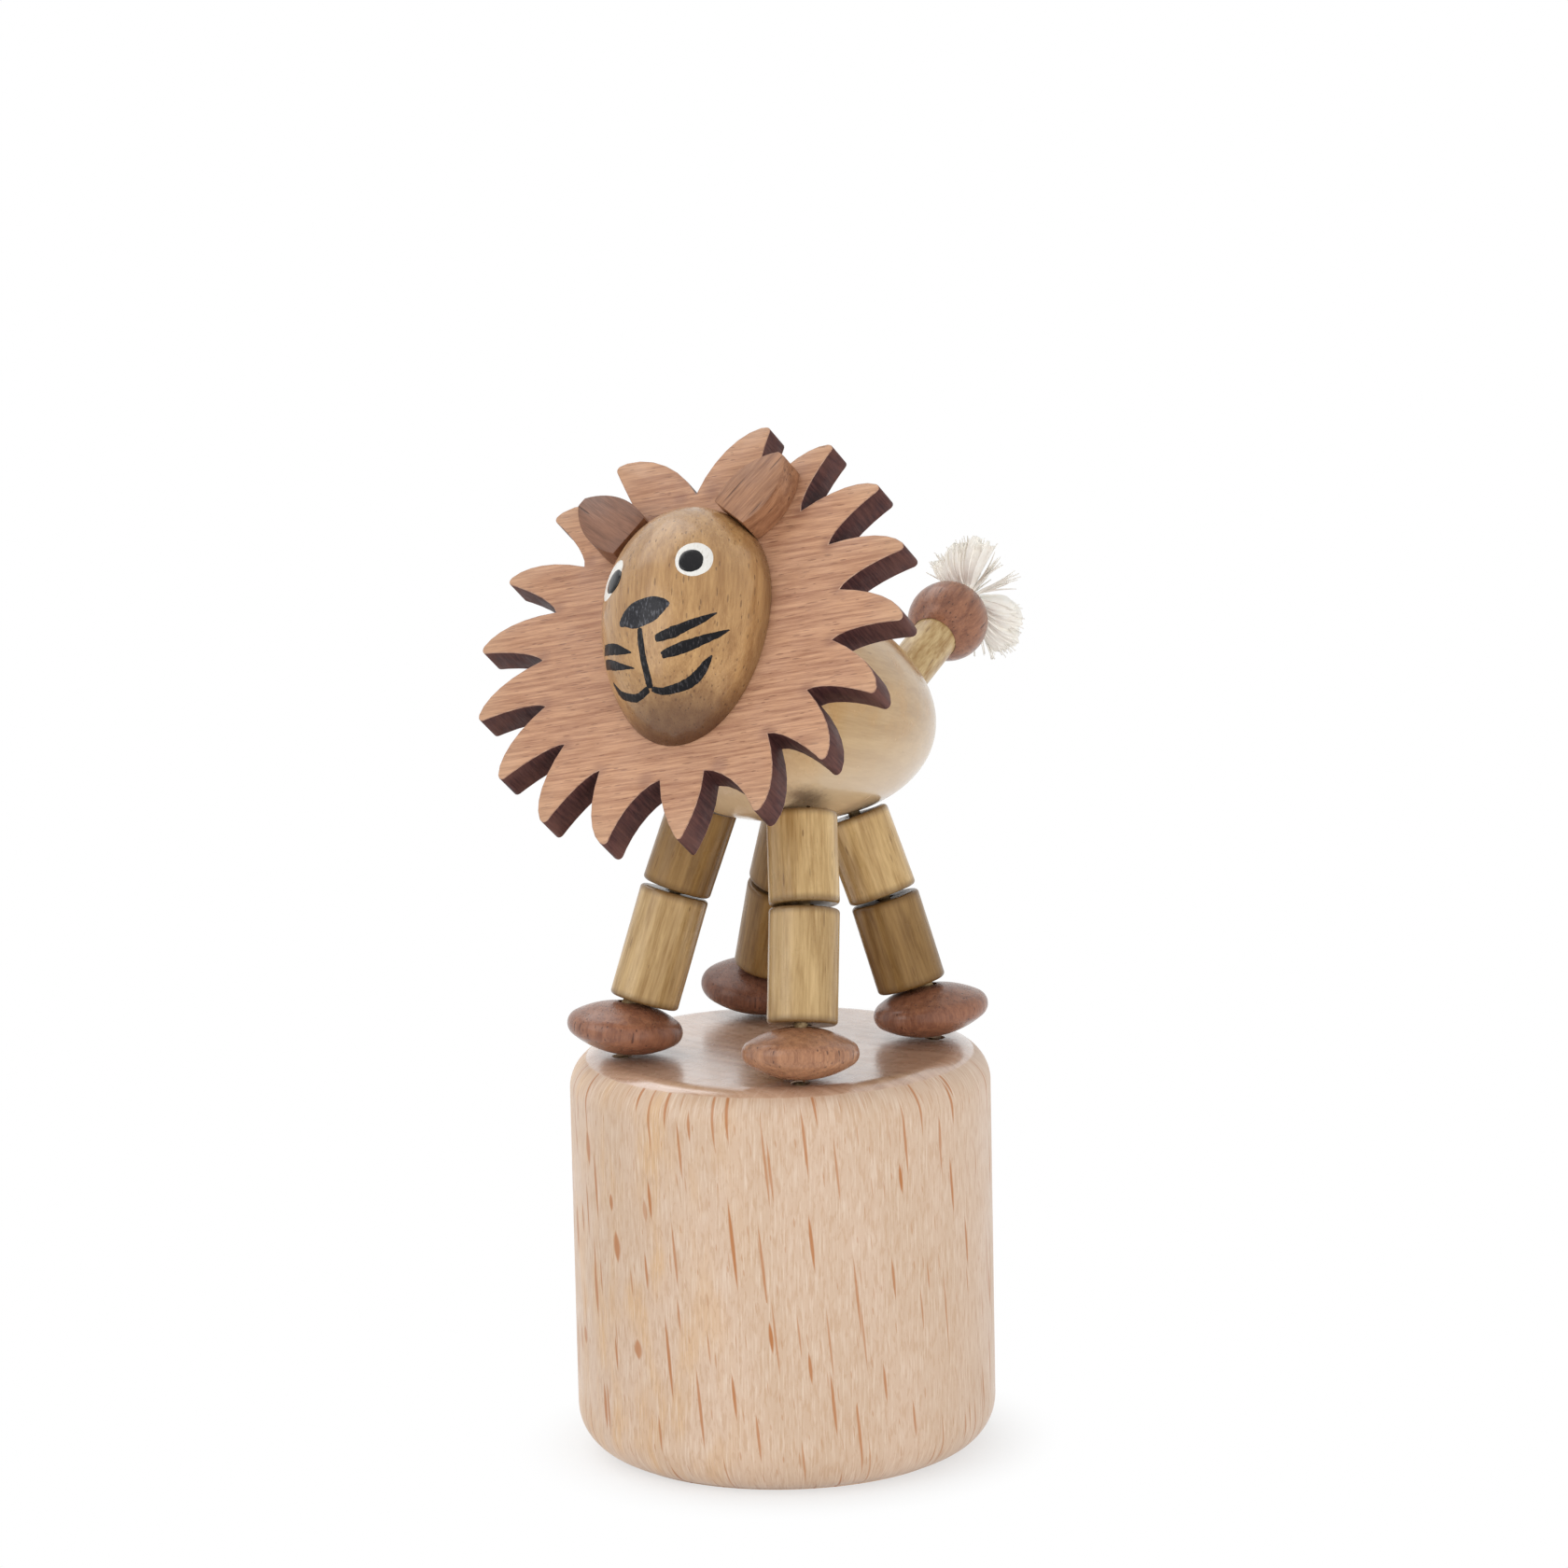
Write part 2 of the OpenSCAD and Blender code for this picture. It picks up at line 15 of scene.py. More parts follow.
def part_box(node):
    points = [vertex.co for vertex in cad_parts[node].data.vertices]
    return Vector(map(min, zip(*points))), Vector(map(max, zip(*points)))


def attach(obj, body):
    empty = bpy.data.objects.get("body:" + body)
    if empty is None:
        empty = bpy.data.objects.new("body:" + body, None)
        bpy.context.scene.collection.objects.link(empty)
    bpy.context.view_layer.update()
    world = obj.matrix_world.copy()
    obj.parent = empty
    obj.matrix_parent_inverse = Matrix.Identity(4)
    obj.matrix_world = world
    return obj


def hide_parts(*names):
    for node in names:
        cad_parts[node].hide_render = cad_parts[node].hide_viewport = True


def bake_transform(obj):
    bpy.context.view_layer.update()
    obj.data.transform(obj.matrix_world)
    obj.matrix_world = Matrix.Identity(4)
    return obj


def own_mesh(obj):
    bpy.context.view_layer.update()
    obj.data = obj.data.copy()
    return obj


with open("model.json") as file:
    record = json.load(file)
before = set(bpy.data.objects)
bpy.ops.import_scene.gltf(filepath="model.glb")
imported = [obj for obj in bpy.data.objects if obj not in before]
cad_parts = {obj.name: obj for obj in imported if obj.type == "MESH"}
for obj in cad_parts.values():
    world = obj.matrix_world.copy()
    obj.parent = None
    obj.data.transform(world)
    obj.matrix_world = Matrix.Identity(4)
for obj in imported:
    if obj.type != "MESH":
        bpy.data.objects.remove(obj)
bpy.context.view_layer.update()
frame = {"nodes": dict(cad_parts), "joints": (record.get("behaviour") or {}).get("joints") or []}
nodes = frame["nodes"]
joints = {joint["name"]: joint for joint in frame["joints"]}

MM = 0.001
LEGS = [f"{end}_{side}" for end in ("front", "rear") for side in ("left", "right")]
LEFT = Vector((1, 0, 0))

# The photograph's view: distances in millimetres, angles in degrees.
CAMERA_AZIMUTH = 36.5
CAMERA_ELEVATION = 10.94
CAMERA_DISTANCE = 492.7
CAMERA_TARGET_Z = 51.3
CAMERA_ROLL = 1.23
CAMERA_LENS = 150
CAMERA_SHIFT_X = 0.00643

# How the head sits, in degrees: its tilt from the torso's line, and its roll.
HEAD_UP = 22.1
HEAD_ROLL = 20.5
EAR_ANGLE = 46
# The grain on the mane plate, up from its own left.
PLATE_GRAIN = -4
# The mane's notches: radius in millimetres, then step and start round the plate in degrees.
NOTCH_RADIUS, NOTCH_STEP, NOTCH_START = 12.3, 20, 6
# The mane's tooth tips lie outside this radius, and pale from the first of these to the second.
TIP_RADIUS = 15
TIP_FADE = (14.0, 18.5)
# Faces that look this far along the neck are the mane's front.
LOOKS_FORWARD = 0.9


def srgb(red, green, blue):
    """A colour as an eye reads it, 0 to 255, in the linear values that shaders take."""
    def linear(value):
        value /= 255
        return value / 12.92 if value <= 0.04045 else ((value + 0.055) / 1.055) ** 2.4
    return (linear(red), linear(green), linear(blue), 1)


# Places on the puppet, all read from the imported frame.
def points_of(node):
    return np.array([v.co for v in nodes[node].data.vertices], float)


def rod_ends(node):
    """The lower and the upper end of a straight thread or stem."""
    points = points_of(node)
    middle = points.mean(0)
    axis = np.linalg.svd(points - middle, full_matrices=False)[2][0]
    axis *= math.copysign(1, axis[2])
    along = (points - middle) @ axis
    return (Vector(middle + axis * along.min()), Vector(middle + axis * along.max()))


def box_middle(node):
    low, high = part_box(node)
    return (low + high) / 2


def half_width(node):
    low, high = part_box(node)
    return (high.x - low.x) / 2


def axes_at(origin, grain, side=LEFT):
    """A place on the puppet whose Z runs along the grain and whose X leans to a side."""
    z = Vector(grain).normalized()
    x = (Vector(side) - z * z.dot(Vector(side))).normalized()
    place = Matrix((x, z.cross(x), z)).transposed().to_4x4()
    place.translation = origin
    return place


neck = Vector(joints["head_swivel"]["pos_m"])
neck_axis = Vector(joints["head_swivel"]["axis"]).normalized()


def head_place():
    """The mane's own axes: X to the lion's left, Y up the face, Z out of the face."""
    mesh = nodes["mane"].data
    mesh.calc_loop_triangles()
    facing = Vector()
    for triangle in mesh.loop_triangles:
        if triangle.normal.dot(neck_axis) > LOOKS_FORWARD:
            facing += triangle.normal * triangle.area
    z = facing.normalized()
    back = min((Vector(p) - neck).dot(z) for p in points_of("mane"))
    origin = neck + neck_axis * (back / neck_axis.dot(z))
    return axes_at(origin, z, Matrix.Rotation(math.radians(HEAD_ROLL), 3, z) @ LEFT)


head = head_place()
head_x, head_y, head_z = (head.to_3x3().col[i].normalized() for i in range(3))
torso_front = Matrix.Rotation(math.radians(HEAD_UP), 3, "X") @ neck_axis
torso = axes_at(box_middle("torso"), -torso_front)
tail_low, tail_high = rod_ends("tail_stem")
tail = axes_at(box_middle("tail_bead"), tail_high - tail_low)
thread_r = half_width("neck_thread")
# These two are in millimetres.
tail_bead_r = half_width("tail_bead") / MM
base_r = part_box("base_block")[1].x / MM


# Short calls for building node trees.
class Shader:
    def __init__(self, tree):
        self.tree = tree

    def fill(self, node, inputs):
        """Links each named input to an output, or sets a plain value on it."""
        for name, value in inputs.items():
            if isinstance(value, bpy.types.NodeSocket):
                self.tree.links.new(value, node.inputs[name])
            else:
                node.inputs[name].default_value = value

    def add(self, kind, inputs=None, **settings):
        node = self.tree.nodes.new(kind)
        for name, value in settings.items():
            setattr(node, name, value)
        self.fill(node, inputs or {})
        return node

    def calc(self, operation, a, b=0.0, clamp=False):
        node = self.add("ShaderNodeMath", {0: a, 1: b}, operation=operation, use_clamp=clamp)
        return node.outputs[0]

    times = partialmethod(calc, "MULTIPLY")
    plus = partialmethod(calc, "ADD")
    minus = partialmethod(calc, "SUBTRACT")
    over = partialmethod(calc, "DIVIDE")

    def mix(self, share, a, b):
        return self.add("ShaderNodeMix", {0: share, 6: a, 7: b}, data_type="RGBA").outputs[2]

    def tint(self, colour, mask, strength, other):
        """Lays another colour over a colour, as strongly as a mask and a strength say; used for
        real stains and for painted light and shade alike.
        """
        return self.mix(self.times(mask, strength), colour, other)

    def lerp(self, value, low, high):
        """Spreads a value of 0 to 1 between two numbers."""
        node = self.add("ShaderNodeMapRange", {"Value": value, "To Min": low, "To Max": high})
        return node.outputs[0]

    def step(self, value, start, stop):
        """Goes softly from 0 at one value to 1 at another, which may be the lower one."""
        node = self.add(
            "ShaderNodeMapRange", {"Value": value, "From Min": start, "From Max": stop},
            interpolation_type="SMOOTHSTEP")
        return node.outputs[0]

    def split(self, vector):
        return self.add("ShaderNodeSeparateXYZ", {0: vector}).outputs

    def join(self, x, y, z=0.0):
        return self.add("ShaderNodeCombineXYZ", {0: x, 1: y, 2: z}).outputs[0]

    def stretch(self, vector, *sizes):
        """Counts each direction in its own size."""
        return self.join(*map(self.over, self.split(vector), sizes))

    def offset(self, spot, centre):
        """The way from a centre to a spot."""
        node = self.add("ShaderNodeVectorMath", {0: spot, 1: centre}, operation="SUBTRACT")
        return node.outputs[0]

    def size(self, vector):
        return self.add("ShaderNodeVectorMath", {0: vector}, operation="LENGTH").outputs["Value"]

    def length(self, x, y):
        return self.size(self.join(x, y))

    def noise(self, vector, scale=1.0, detail=2.0, roughness=0.5, distortion=0.0):
        node = self.add("ShaderNodeTexNoise", {
            "Vector": vector, "Scale": scale, "Detail": detail,
            "Roughness": roughness, "Distortion": distortion})
        return node.outputs["Fac"]


def new_group(name, inputs, outputs):
    """An empty group: its shader, the values it is given, and the node that gives its results."""
    tree = bpy.data.node_groups.new(name, "ShaderNodeTree")
    for label, kind, value in inputs:
        socket = tree.interface.new_socket(label, in_out="INPUT", socket_type="NodeSocket" + kind)
        if value is not None:
            socket.default_value = value
    for label, kind in outputs:
        tree.interface.new_socket(label, in_out="OUTPUT", socket_type="NodeSocket" + kind)
    shader = Shader(tree)
    return shader, shader.add("NodeGroupInput").outputs, shader.add("NodeGroupOutput")


# Effects that several finishes share. Fibres are this fine beside the bands, across and along
# the grain, and the two make up the wood's tone by these shares.
FIBRE_WIDTH, FIBRE_LENGTH = 0.17, 0.3
BAND_SHARE, FIBRE_SHARE = 0.6, 0.4
# A pore's cell is longer than the pore, and flecks lean by this much as they rise.
PORE_CELL = 1.4
FLECK_LEAN = 0.09


def wood_figure_group():
    """Broad bands and fine fibres along the grain, which runs along Z, in millimetres."""
    s, given, gives = new_group(
        "wood figure",
        [("Place", "Vector", None), ("Pale", "Color", None), ("Dark", "Color", None),
         ("Band width", "Float", 1.0), ("Band length", "Float", 12.0),
         ("Contrast", "Float", 0.6), ("Wobble", "Float", 0.4)],
        [("Colour", "Color"), ("Fibres", "Float")])
    place, wide, tall = given["Place"], given["Band width"], given["Band length"]
    bands = s.noise(
        s.stretch(place, wide, wide, tall), detail=4, roughness=0.6, distortion=given["Wobble"])
    fine, long = s.times(wide, FIBRE_WIDTH), s.times(tall, FIBRE_LENGTH)
    fibres = s.noise(s.stretch(place, fine, fine, long), detail=3, roughness=0.6)
    tone = s.plus(s.times(s.step(bands, 0.3, 0.7), BAND_SHARE),
                  s.times(s.step(fibres, 0.25, 0.75), FIBRE_SHARE))
    centred = s.times(s.minus(tone, 0.5), given["Contrast"])
    shade = s.plus(centred, 0.5, clamp=True)
    s.fill(gives, {"Colour": s.mix(shade, given["Dark"], given["Pale"]), "Fibres": fibres})
    return s.tree


def scattered_marks(s, cells, scatter, **settings):
    """The nearest mark among the cells: the way from it, and three chances of its own."""
    mark = s.add("ShaderNodeTexVoronoi", {
        "Vector": cells, "Scale": 1.0, "Randomness": scatter}, **settings).outputs
    away = s.split(s.offset(cells, mark["Position"]))
    return away, s.add("ShaderNodeSeparateColor", {0: mark["Color"]}).outputs


def spindle(s, across, along, soft):
    """1 inside a soft-edged spindle, from shares of its half width and of its half length."""
    return s.step(s.minus(1.0, s.plus(across, s.times(along, along))), 0.0, soft)


def pores_group():
    """Short dark pores that lie along the grain, cut wherever the surface meets them."""
    s, given, gives = new_group(
        "wood pores",
        [("Place", "Vector", None), ("Spacing", "Float", 0.5), ("Length", "Float", 2.0),
         ("Width", "Float", 0.12), ("Share", "Float", 0.5)],
        [("Mask", "Float")])
    spacing = given["Spacing"]
    cells = s.stretch(given["Place"], spacing, spacing, s.times(given["Length"], PORE_CELL))
    (x, y, z), (chance, size, tall) = scattered_marks(s, cells, 1.0)
    across = s.over(s.times(s.length(x, y), spacing),
                    s.times(given["Width"], s.lerp(size, 0.6, 1.2)))
    along = s.over(s.calc("ABSOLUTE", z), s.lerp(tall, 0.12, 0.38))
    there = s.calc("LESS_THAN", chance, given["Share"])
    s.fill(gives, {"Mask": s.times(spindle(s, across, along, 0.45), there)})
    return s.tree


def flecks_group():
    """Spindle-shaped ray flecks on a turned face, laid out on its girth and height."""
    s, given, gives = new_group(
        "ray flecks",
        [("Around", "Float", 0.0), ("Up", "Float", 0.0), ("Cell width", "Float", 1.0),
         ("Cell height", "Float", 5.0), ("Half width", "Float", 0.25),
         ("Half length", "Float", 3.0), ("Share", "Float", 0.6)],
        [("Mask", "Float"), ("Tone", "Float")])
    wide, tall = given["Cell width"], given["Cell height"]
    around = s.plus(given["Around"], s.times(given["Up"], FLECK_LEAN))
    cells = s.join(s.over(around, wide), s.over(given["Up"], tall))
    (x, y, _), (chance, size, long) = scattered_marks(s, cells, 0.9, voronoi_dimensions="2D")
    across = s.over(s.calc("ABSOLUTE", s.times(x, wide)),
                    s.times(given["Half width"], s.lerp(size, 0.45, 1.0)))
    along = s.over(s.times(y, tall),
                   s.times(given["Half length"], s.lerp(s.calc("POWER", long, 1.5), 0.3, 1.0)))
    there = s.calc("LESS_THAN", chance, given["Share"])
    s.fill(gives, {"Mask": s.times(spindle(s, across, along, 0.6), there), "Tone": size})
    return s.tree


def handled_group():
    """Gloss that changes a little where lacquer lies thicker or fingers have rubbed."""
    s, given, gives = new_group(
        "handled gloss",
        [("Place", "Vector", None), ("Smooth", "Float", 0.3), ("Rough", "Float", 0.5),
         ("Patch", "Float", 2.5)],
        [("Roughness", "Float")])
    patch = given["Patch"]
    patches = s.noise(s.stretch(given["Place"], patch, patch, patch), detail=3, roughness=0.6)
    s.fill(gives, {
        "Roughness": s.lerp(s.step(patches, 0.3, 0.7), given["Smooth"], given["Rough"])})
    return s.tree


wood_figure = wood_figure_group()
wood_pores = pores_group()
ray_flecks = flecks_group()
handled_gloss = handled_group()


# Finishes.
def cleared_shader(owner):
    """An empty node tree for a material or a world."""
    owner.use_nodes = True
    owner.node_tree.nodes.clear()
    return Shader(owner.node_tree)


def new_material(name, plain_colour):
    material = bpy.data.materials.new(name)
    material.diffuse_color = plain_colour
    shader = cleared_shader(material)
    surface = shader.add("ShaderNodeBsdfPrincipled")
    shader.add("ShaderNodeOutputMaterial", {0: surface.outputs[0]})
    return material, shader, surface


def local_millimetres(shader, place):
    """The surface's place in a piece's own axes, in millimetres."""
    spot = shader.add("ShaderNodeTexCoord").outputs["Object"]
    return shader.add("ShaderNodeMapping", {
        "Vector": spot, "Location": place.translation, "Rotation": place.to_euler(),
        "Scale": (MM, MM, MM)}, vector_type="TEXTURE").outputs[0]


def use_group(shader, group, inputs):
    return shader.add("ShaderNodeGroup", inputs, node_tree=group).outputs


def handled(shader, spot, smooth, rough, patch=2.5):
    """The roughness of a handled finish, in patches of a size in millimetres."""
    return use_group(shader, handled_gloss, {
        "Place": spot, "Smooth": smooth, "Rough": rough, "Patch": patch})["Roughness"]


def relief(shader, height, strength, depth):
    """The normal over a height, for a depth in millimetres."""
    return shader.add("ShaderNodeBump", {
        "Height": height, "Strength": strength, "Distance": depth * MM}).outputs[0]


LACQUER_ROUGHNESS = 0.14
GRAIN_DEPTH = 0.06
FIBRE_RELIEF = 0.6


class Wood(NamedTuple):
    """One kind of wood: its colours, its figure in millimetres, and its lacquer."""
    pale: tuple
    dark: tuple
    pore: tuple
    band_width: float = 1.0
    band_length: float = 12.0
    contrast: float = 0.8
    wobble: float = 0.4
    pore_spacing: float = 0.5
    pore_length: float = 2.0
    pore_width: float = 0.12
    pore_share: float = 0.5
    pore_strength: float = 0.7
    smooth: float = 0.3
    rough: float = 0.45
    shine: float = 0.3
    coat: float = 0.12
    relief: float = 0.25


class WoodFinish:
    """Lacquered wood whose grain runs along the place's own Z."""
    def __init__(self, name, place, wood):
        self.wood = wood
        self.material, self.shader, self.surface = new_material(name, wood.pale)
        s = self.shader
        self.spot = local_millimetres(s, place)
        figure = use_group(s, wood_figure, {
            "Place": self.spot, "Pale": wood.pale, "Dark": wood.dark,
            "Band width": wood.band_width, "Band length": wood.band_length,
            "Contrast": wood.contrast, "Wobble": wood.wobble})
        pores = use_group(s, wood_pores, {
            "Place": self.spot, "Spacing": wood.pore_spacing, "Length": wood.pore_length,
            "Width": wood.pore_width, "Share": wood.pore_share})
        self.fibres = figure["Fibres"]
        self.pores = s.times(pores["Mask"], wood.pore_strength)
        self.colour = s.mix(self.pores, figure["Colour"], wood.pore)

    def tint(self, mask, strength, colour):
        self.colour = self.shader.tint(self.colour, mask, strength, colour)

    def finish(self):
        s, wood = self.shader, self.wood
        height = s.minus(s.times(self.fibres, FIBRE_RELIEF), self.pores)
        s.fill(self.surface, {
            "Base Color": self.colour,
            "Roughness": handled(s, self.spot, wood.smooth, wood.rough),
            "Specular IOR Level": wood.shine,
            "Coat Weight": wood.coat,
            "Coat Roughness": LACQUER_ROUGHNESS,
            "Normal": relief(s, height, wood.relief, GRAIN_DEPTH)})
        return self.material


LEG_WOOD = Wood(
    srgb(211, 180, 130), srgb(153, 119, 71), srgb(114, 82, 44), band_width=1.1, band_length=9.0,
    contrast=1.1, pore_spacing=0.4, pore_length=1.8, pore_width=0.09, pore_share=0.45,
    pore_strength=0.55, smooth=0.24, rough=0.4, coat=0.2, relief=0.3)
# Painted shade: a darker copy of the leg wood for the legs that lie in shade, under the mane and at
# the back.
SHADED_LEG_WOOD = LEG_WOOD._replace(
    pale=srgb(160, 127, 80), dark=srgb(114, 83, 44), shine=0.2, coat=0.1)
# Painted light: a paler copy of the leg wood for the upper legs that catch more light.
LIT_LEG_WOOD = LEG_WOOD._replace(pale=srgb(224, 192, 138), dark=srgb(166, 130, 78))
# The other legs are of plain leg wood.
LEG_WOODS = {
    "front_left_upper": LIT_LEG_WOOD, "front_right_upper": SHADED_LEG_WOOD,
    "rear_left_upper": LIT_LEG_WOOD, "rear_left_lower": SHADED_LEG_WOOD,
    "rear_right_upper": SHADED_LEG_WOOD, "rear_right_lower": SHADED_LEG_WOOD}
LEG_END_STAIN = srgb(104, 75, 40)
# How far a leg's dark ends fade, in millimetres.
LEG_END_FADE = (0.7, 0.05)
FOOT_WOOD = Wood(
    srgb(168, 116, 88), srgb(112, 70, 53), srgb(74, 45, 36), band_width=0.55, band_length=6.0,
    contrast=1.0, pore_spacing=0.3, pore_length=1.6, pore_width=0.08, pore_share=0.65,
    smooth=0.22, rough=0.36, coat=0.25, relief=0.8)
FOOT_WOODS = {
    "front_left": FOOT_WOOD._replace(pale=srgb(192, 140, 104), dark=srgb(132, 88, 64)),
    "front_right": FOOT_WOOD,
    "rear_left": FOOT_WOOD,
    # Painted shade: the rear right foot lies in shade and gets a darker copy of the foot wood.
    "rear_right": FOOT_WOOD._replace(
        pale=srgb(132, 90, 70), dark=srgb(90, 56, 44), shine=0.2, coat=0.1)}
TORSO_WOOD = Wood(
    srgb(198, 165, 117), srgb(166, 129, 81), srgb(140, 104, 62), band_width=1.2,
    band_length=14.0, contrast=0.95, pore_spacing=0.5, pore_length=2.4, pore_width=0.09,
    pore_share=0.4, pore_strength=0.5, smooth=0.16, rough=0.28, coat=0.38, relief=0.2)
TORSO_HONEY = srgb(190, 146, 86)
TORSO_PAINTED_BOUNCE = srgb(218, 194, 162)
# Painted reflected light: the torso grows paler from its middle to this far below it, in
# millimetres.
BOUNCE_DROP = -6.0
# A darker patch on the chest above the front left leg: place and reach in millimetres.
CHEST_DARK_COLOUR = srgb(96, 74, 58)
CHEST_DARK_SPOT = (5.84, -4.22, 51.6)
CHEST_DARK_SIZE = (1.5, 1.5, 3.8)
TAIL_WOOD = Wood(
    srgb(214, 188, 138), srgb(158, 120, 66), srgb(130, 96, 54), band_width=0.9, band_length=3.0,
    contrast=1.2, smooth=0.25, rough=0.4, coat=0.2)
TAIL_BEAD_WOOD = FOOT_WOOD._replace(pale=srgb(168, 116, 87), dark=srgb(110, 68, 52))
MANE_WOOD = Wood(
    srgb(214, 165, 129), srgb(155, 105, 77), srgb(112, 69, 49), band_width=0.26,
    band_length=4.5, contrast=1.1, wobble=0.0, pore_spacing=0.22, pore_length=1.2,
    pore_width=0.06, pore_share=0.75, pore_strength=0.5, smooth=0.36, rough=0.55, shine=0.4,
    coat=0.0, relief=0.5)
MANE_TIP_COLOUR = srgb(224, 186, 150)
MANE_EDGE_WOOD = Wood(
    srgb(206, 168, 142), srgb(146, 102, 84), srgb(142, 94, 72), band_width=0.4, band_length=2.0,
    contrast=1.2, smooth=0.42, rough=0.6, coat=0.0)
SMOKE_COLOUR = srgb(126, 82, 68)
# Smoke fades out from a notch's root over this range, in millimetres.
SMOKE_FADE = (1.0, 0.1)
FACE_WOOD = Wood(
    srgb(200, 158, 106), srgb(152, 110, 66), srgb(88, 60, 38), band_width=0.7, band_length=7.0,
    contrast=1.0, pore_spacing=0.28, pore_length=1.3, pore_width=0.075, pore_share=0.7,
    pore_strength=0.5, smooth=0.24, rough=0.38, coat=0.4, relief=0.9)
# The face darkens down the chin and back towards the mane, in millimetres: partly a real stain and
# partly painted shade, where the chin faces down and where the face meets the mane.
FACE_STAIN_AND_SHADE = srgb(76, 44, 31)
CHIN_FADE = (-5.5, -9.0)
CHEEK_FADE = (4.4, 2.6)
EAR_WOOD = Wood(
    srgb(180, 132, 98), srgb(126, 84, 60), srgb(70, 45, 33), band_width=0.6, band_length=5.0,
    contrast=1.1, pore_spacing=0.34, pore_length=3.2, pore_width=0.08, pore_share=0.6,
    pore_strength=0.8, smooth=0.34, rough=0.5, coat=0.08, relief=0.7)
DARK_EAR_WOOD = EAR_WOOD._replace(pale=srgb(150, 106, 82), dark=srgb(104, 69, 52))

BEECH_PALE = srgb(218, 190, 166)
BEECH_WARM = srgb(210, 181, 154)
BEECH_TAN = srgb(198, 160, 127)
BEECH_LIGHT = srgb(236, 217, 198)
BEECH_HONEY = srgb(218, 174, 120)
BEECH_FLECK = srgb(182, 114, 57)
BUTTON_WOOD = Wood(BEECH_PALE, BEECH_WARM, BEECH_FLECK, smooth=0.35, rough=0.5)
# Ray flecks: cell width and height, half width and half length in millimetres, and share.
FLECK_SIZES = ("Cell width", "Cell height", "Half width", "Half length", "Share")
FINE_FLECKS = (0.9, 3.6, 0.1, 1.0, 0.6)
SLIM_FLECKS = (2.8, 11.0, 0.22, 4.2, 0.65)
BROAD_FLECKS = (3.4, 8.0, 0.6, 2.6, 0.6)
# How far each layer of flecks is moved round the base and up it.
FINE_LAYER, BROAD_LAYER = (31, 7), (57, 3)
SLIM_LAYERS = ((0, 0), (64, 19), (141, 43))
# The face on the left of the photograph is cut across the rays, so its flecks are broad.
QUARTER_SAWN_TURN = 62

# The end grain, in millimetres: the tree's pith, its rings and its rays.
END_GRAIN_PALE = srgb(220, 186, 159)
END_GRAIN_DARK = srgb(184, 145, 117)
END_GRAIN_RAY = srgb(224, 196, 172)
PITH = (30.0, 34.0, 0.0)
RING_WIDTH = 0.9
RING_WOBBLE = 1.6
RAY_LENGTH = 4.0
RAY_COUNT = 150.0
# How far up a face looks where the base's side turns into its top, and how that line wanders.
TOP_FACING = (0.79, 0.83)
TOP_WANDER = 0.05
SIDE_COAT, TOP_COAT = 0.03, 1.0


def beech_side(s, turn, z):
    """Fine mottled strokes, honey patches and slim spindle flecks; gives colour and height."""
    around = s.times(turn, base_r)

    def strokes(wide, tall, **settings):
        return s.noise(s.join(s.over(around, wide), s.over(z, tall)), **settings)

    def flecks(layer, kind):
        return use_group(s, ray_flecks, {
            "Around": s.plus(around, layer[0]), "Up": s.plus(z, layer[1]),
            **dict(zip(FLECK_SIZES, kind))})

    clouds = strokes(6.0, 24.0, detail=3)
    mottle = strokes(0.3, 1.3, detail=3, roughness=0.6, distortion=0.5)
    fibres = strokes(0.14, 2.6, detail=3, roughness=0.6)
    patches = strokes(2.4, 8.0, detail=2)
    quarter_sawn = s.calc("COSINE", s.plus(turn, math.radians(QUARTER_SAWN_TURN)))
    honey = s.times(s.step(patches, 0.42, 0.7), s.step(quarter_sawn, 0.5, 0.95))
    colour = s.mix(s.step(clouds, 0.3, 0.7), BEECH_WARM, BEECH_PALE)
    colour = s.tint(colour, honey, 0.6, BEECH_HONEY)
    colour = s.tint(colour, s.step(mottle, 0.47, 0.62), 0.5, BEECH_TAN)
    colour = s.tint(colour, s.step(fibres, 0.47, 0.7), 0.55, BEECH_LIGHT)
    mask = s.times(flecks(FINE_LAYER, FINE_FLECKS)["Mask"], 0.4)
    for layer in SLIM_LAYERS:
        slim = flecks(layer, SLIM_FLECKS)
        mask = s.calc("MAXIMUM", mask, s.times(slim["Mask"], s.lerp(slim["Tone"], 0.55, 0.95)))
    broad = s.times(flecks(BROAD_LAYER, BROAD_FLECKS)["Mask"], s.step(quarter_sawn, 0.86, 0.97))
    mask = s.calc("MAXIMUM", mask, s.times(broad, 0.85))
    return s.mix(mask, colour, BEECH_FLECK), s.minus(s.times(fibres, 0.5), mask)


def beech_end(s, spot):
    """End grain under thick lacquer: ring arcs crossed by fine rays; gives colour and height."""
    x, y, _ = s.split(s.offset(spot, PITH))
    wobble = s.times(s.noise(spot, scale=0.25, detail=2), RING_WOBBLE)
    ring = s.plus(s.length(x, y), wobble)
    rings = s.noise(s.join(s.over(ring, RING_WIDTH), 0.0), detail=3, roughness=0.65)
    fan = s.times(s.calc("ARCTAN2", x, y), RAY_COUNT)
    rays = s.noise(s.join(fan, s.over(ring, RAY_LENGTH)), detail=3, roughness=0.6)
    colour = s.mix(s.step(rings, 0.3, 0.7), END_GRAIN_DARK, END_GRAIN_PALE)
    colour = s.tint(colour, s.step(rays, 0.52, 0.75), 0.5, END_GRAIN_RAY)
    ripple = s.noise(spot, scale=0.8, detail=2)
    return colour, s.plus(ripple, s.times(rays, 0.8))


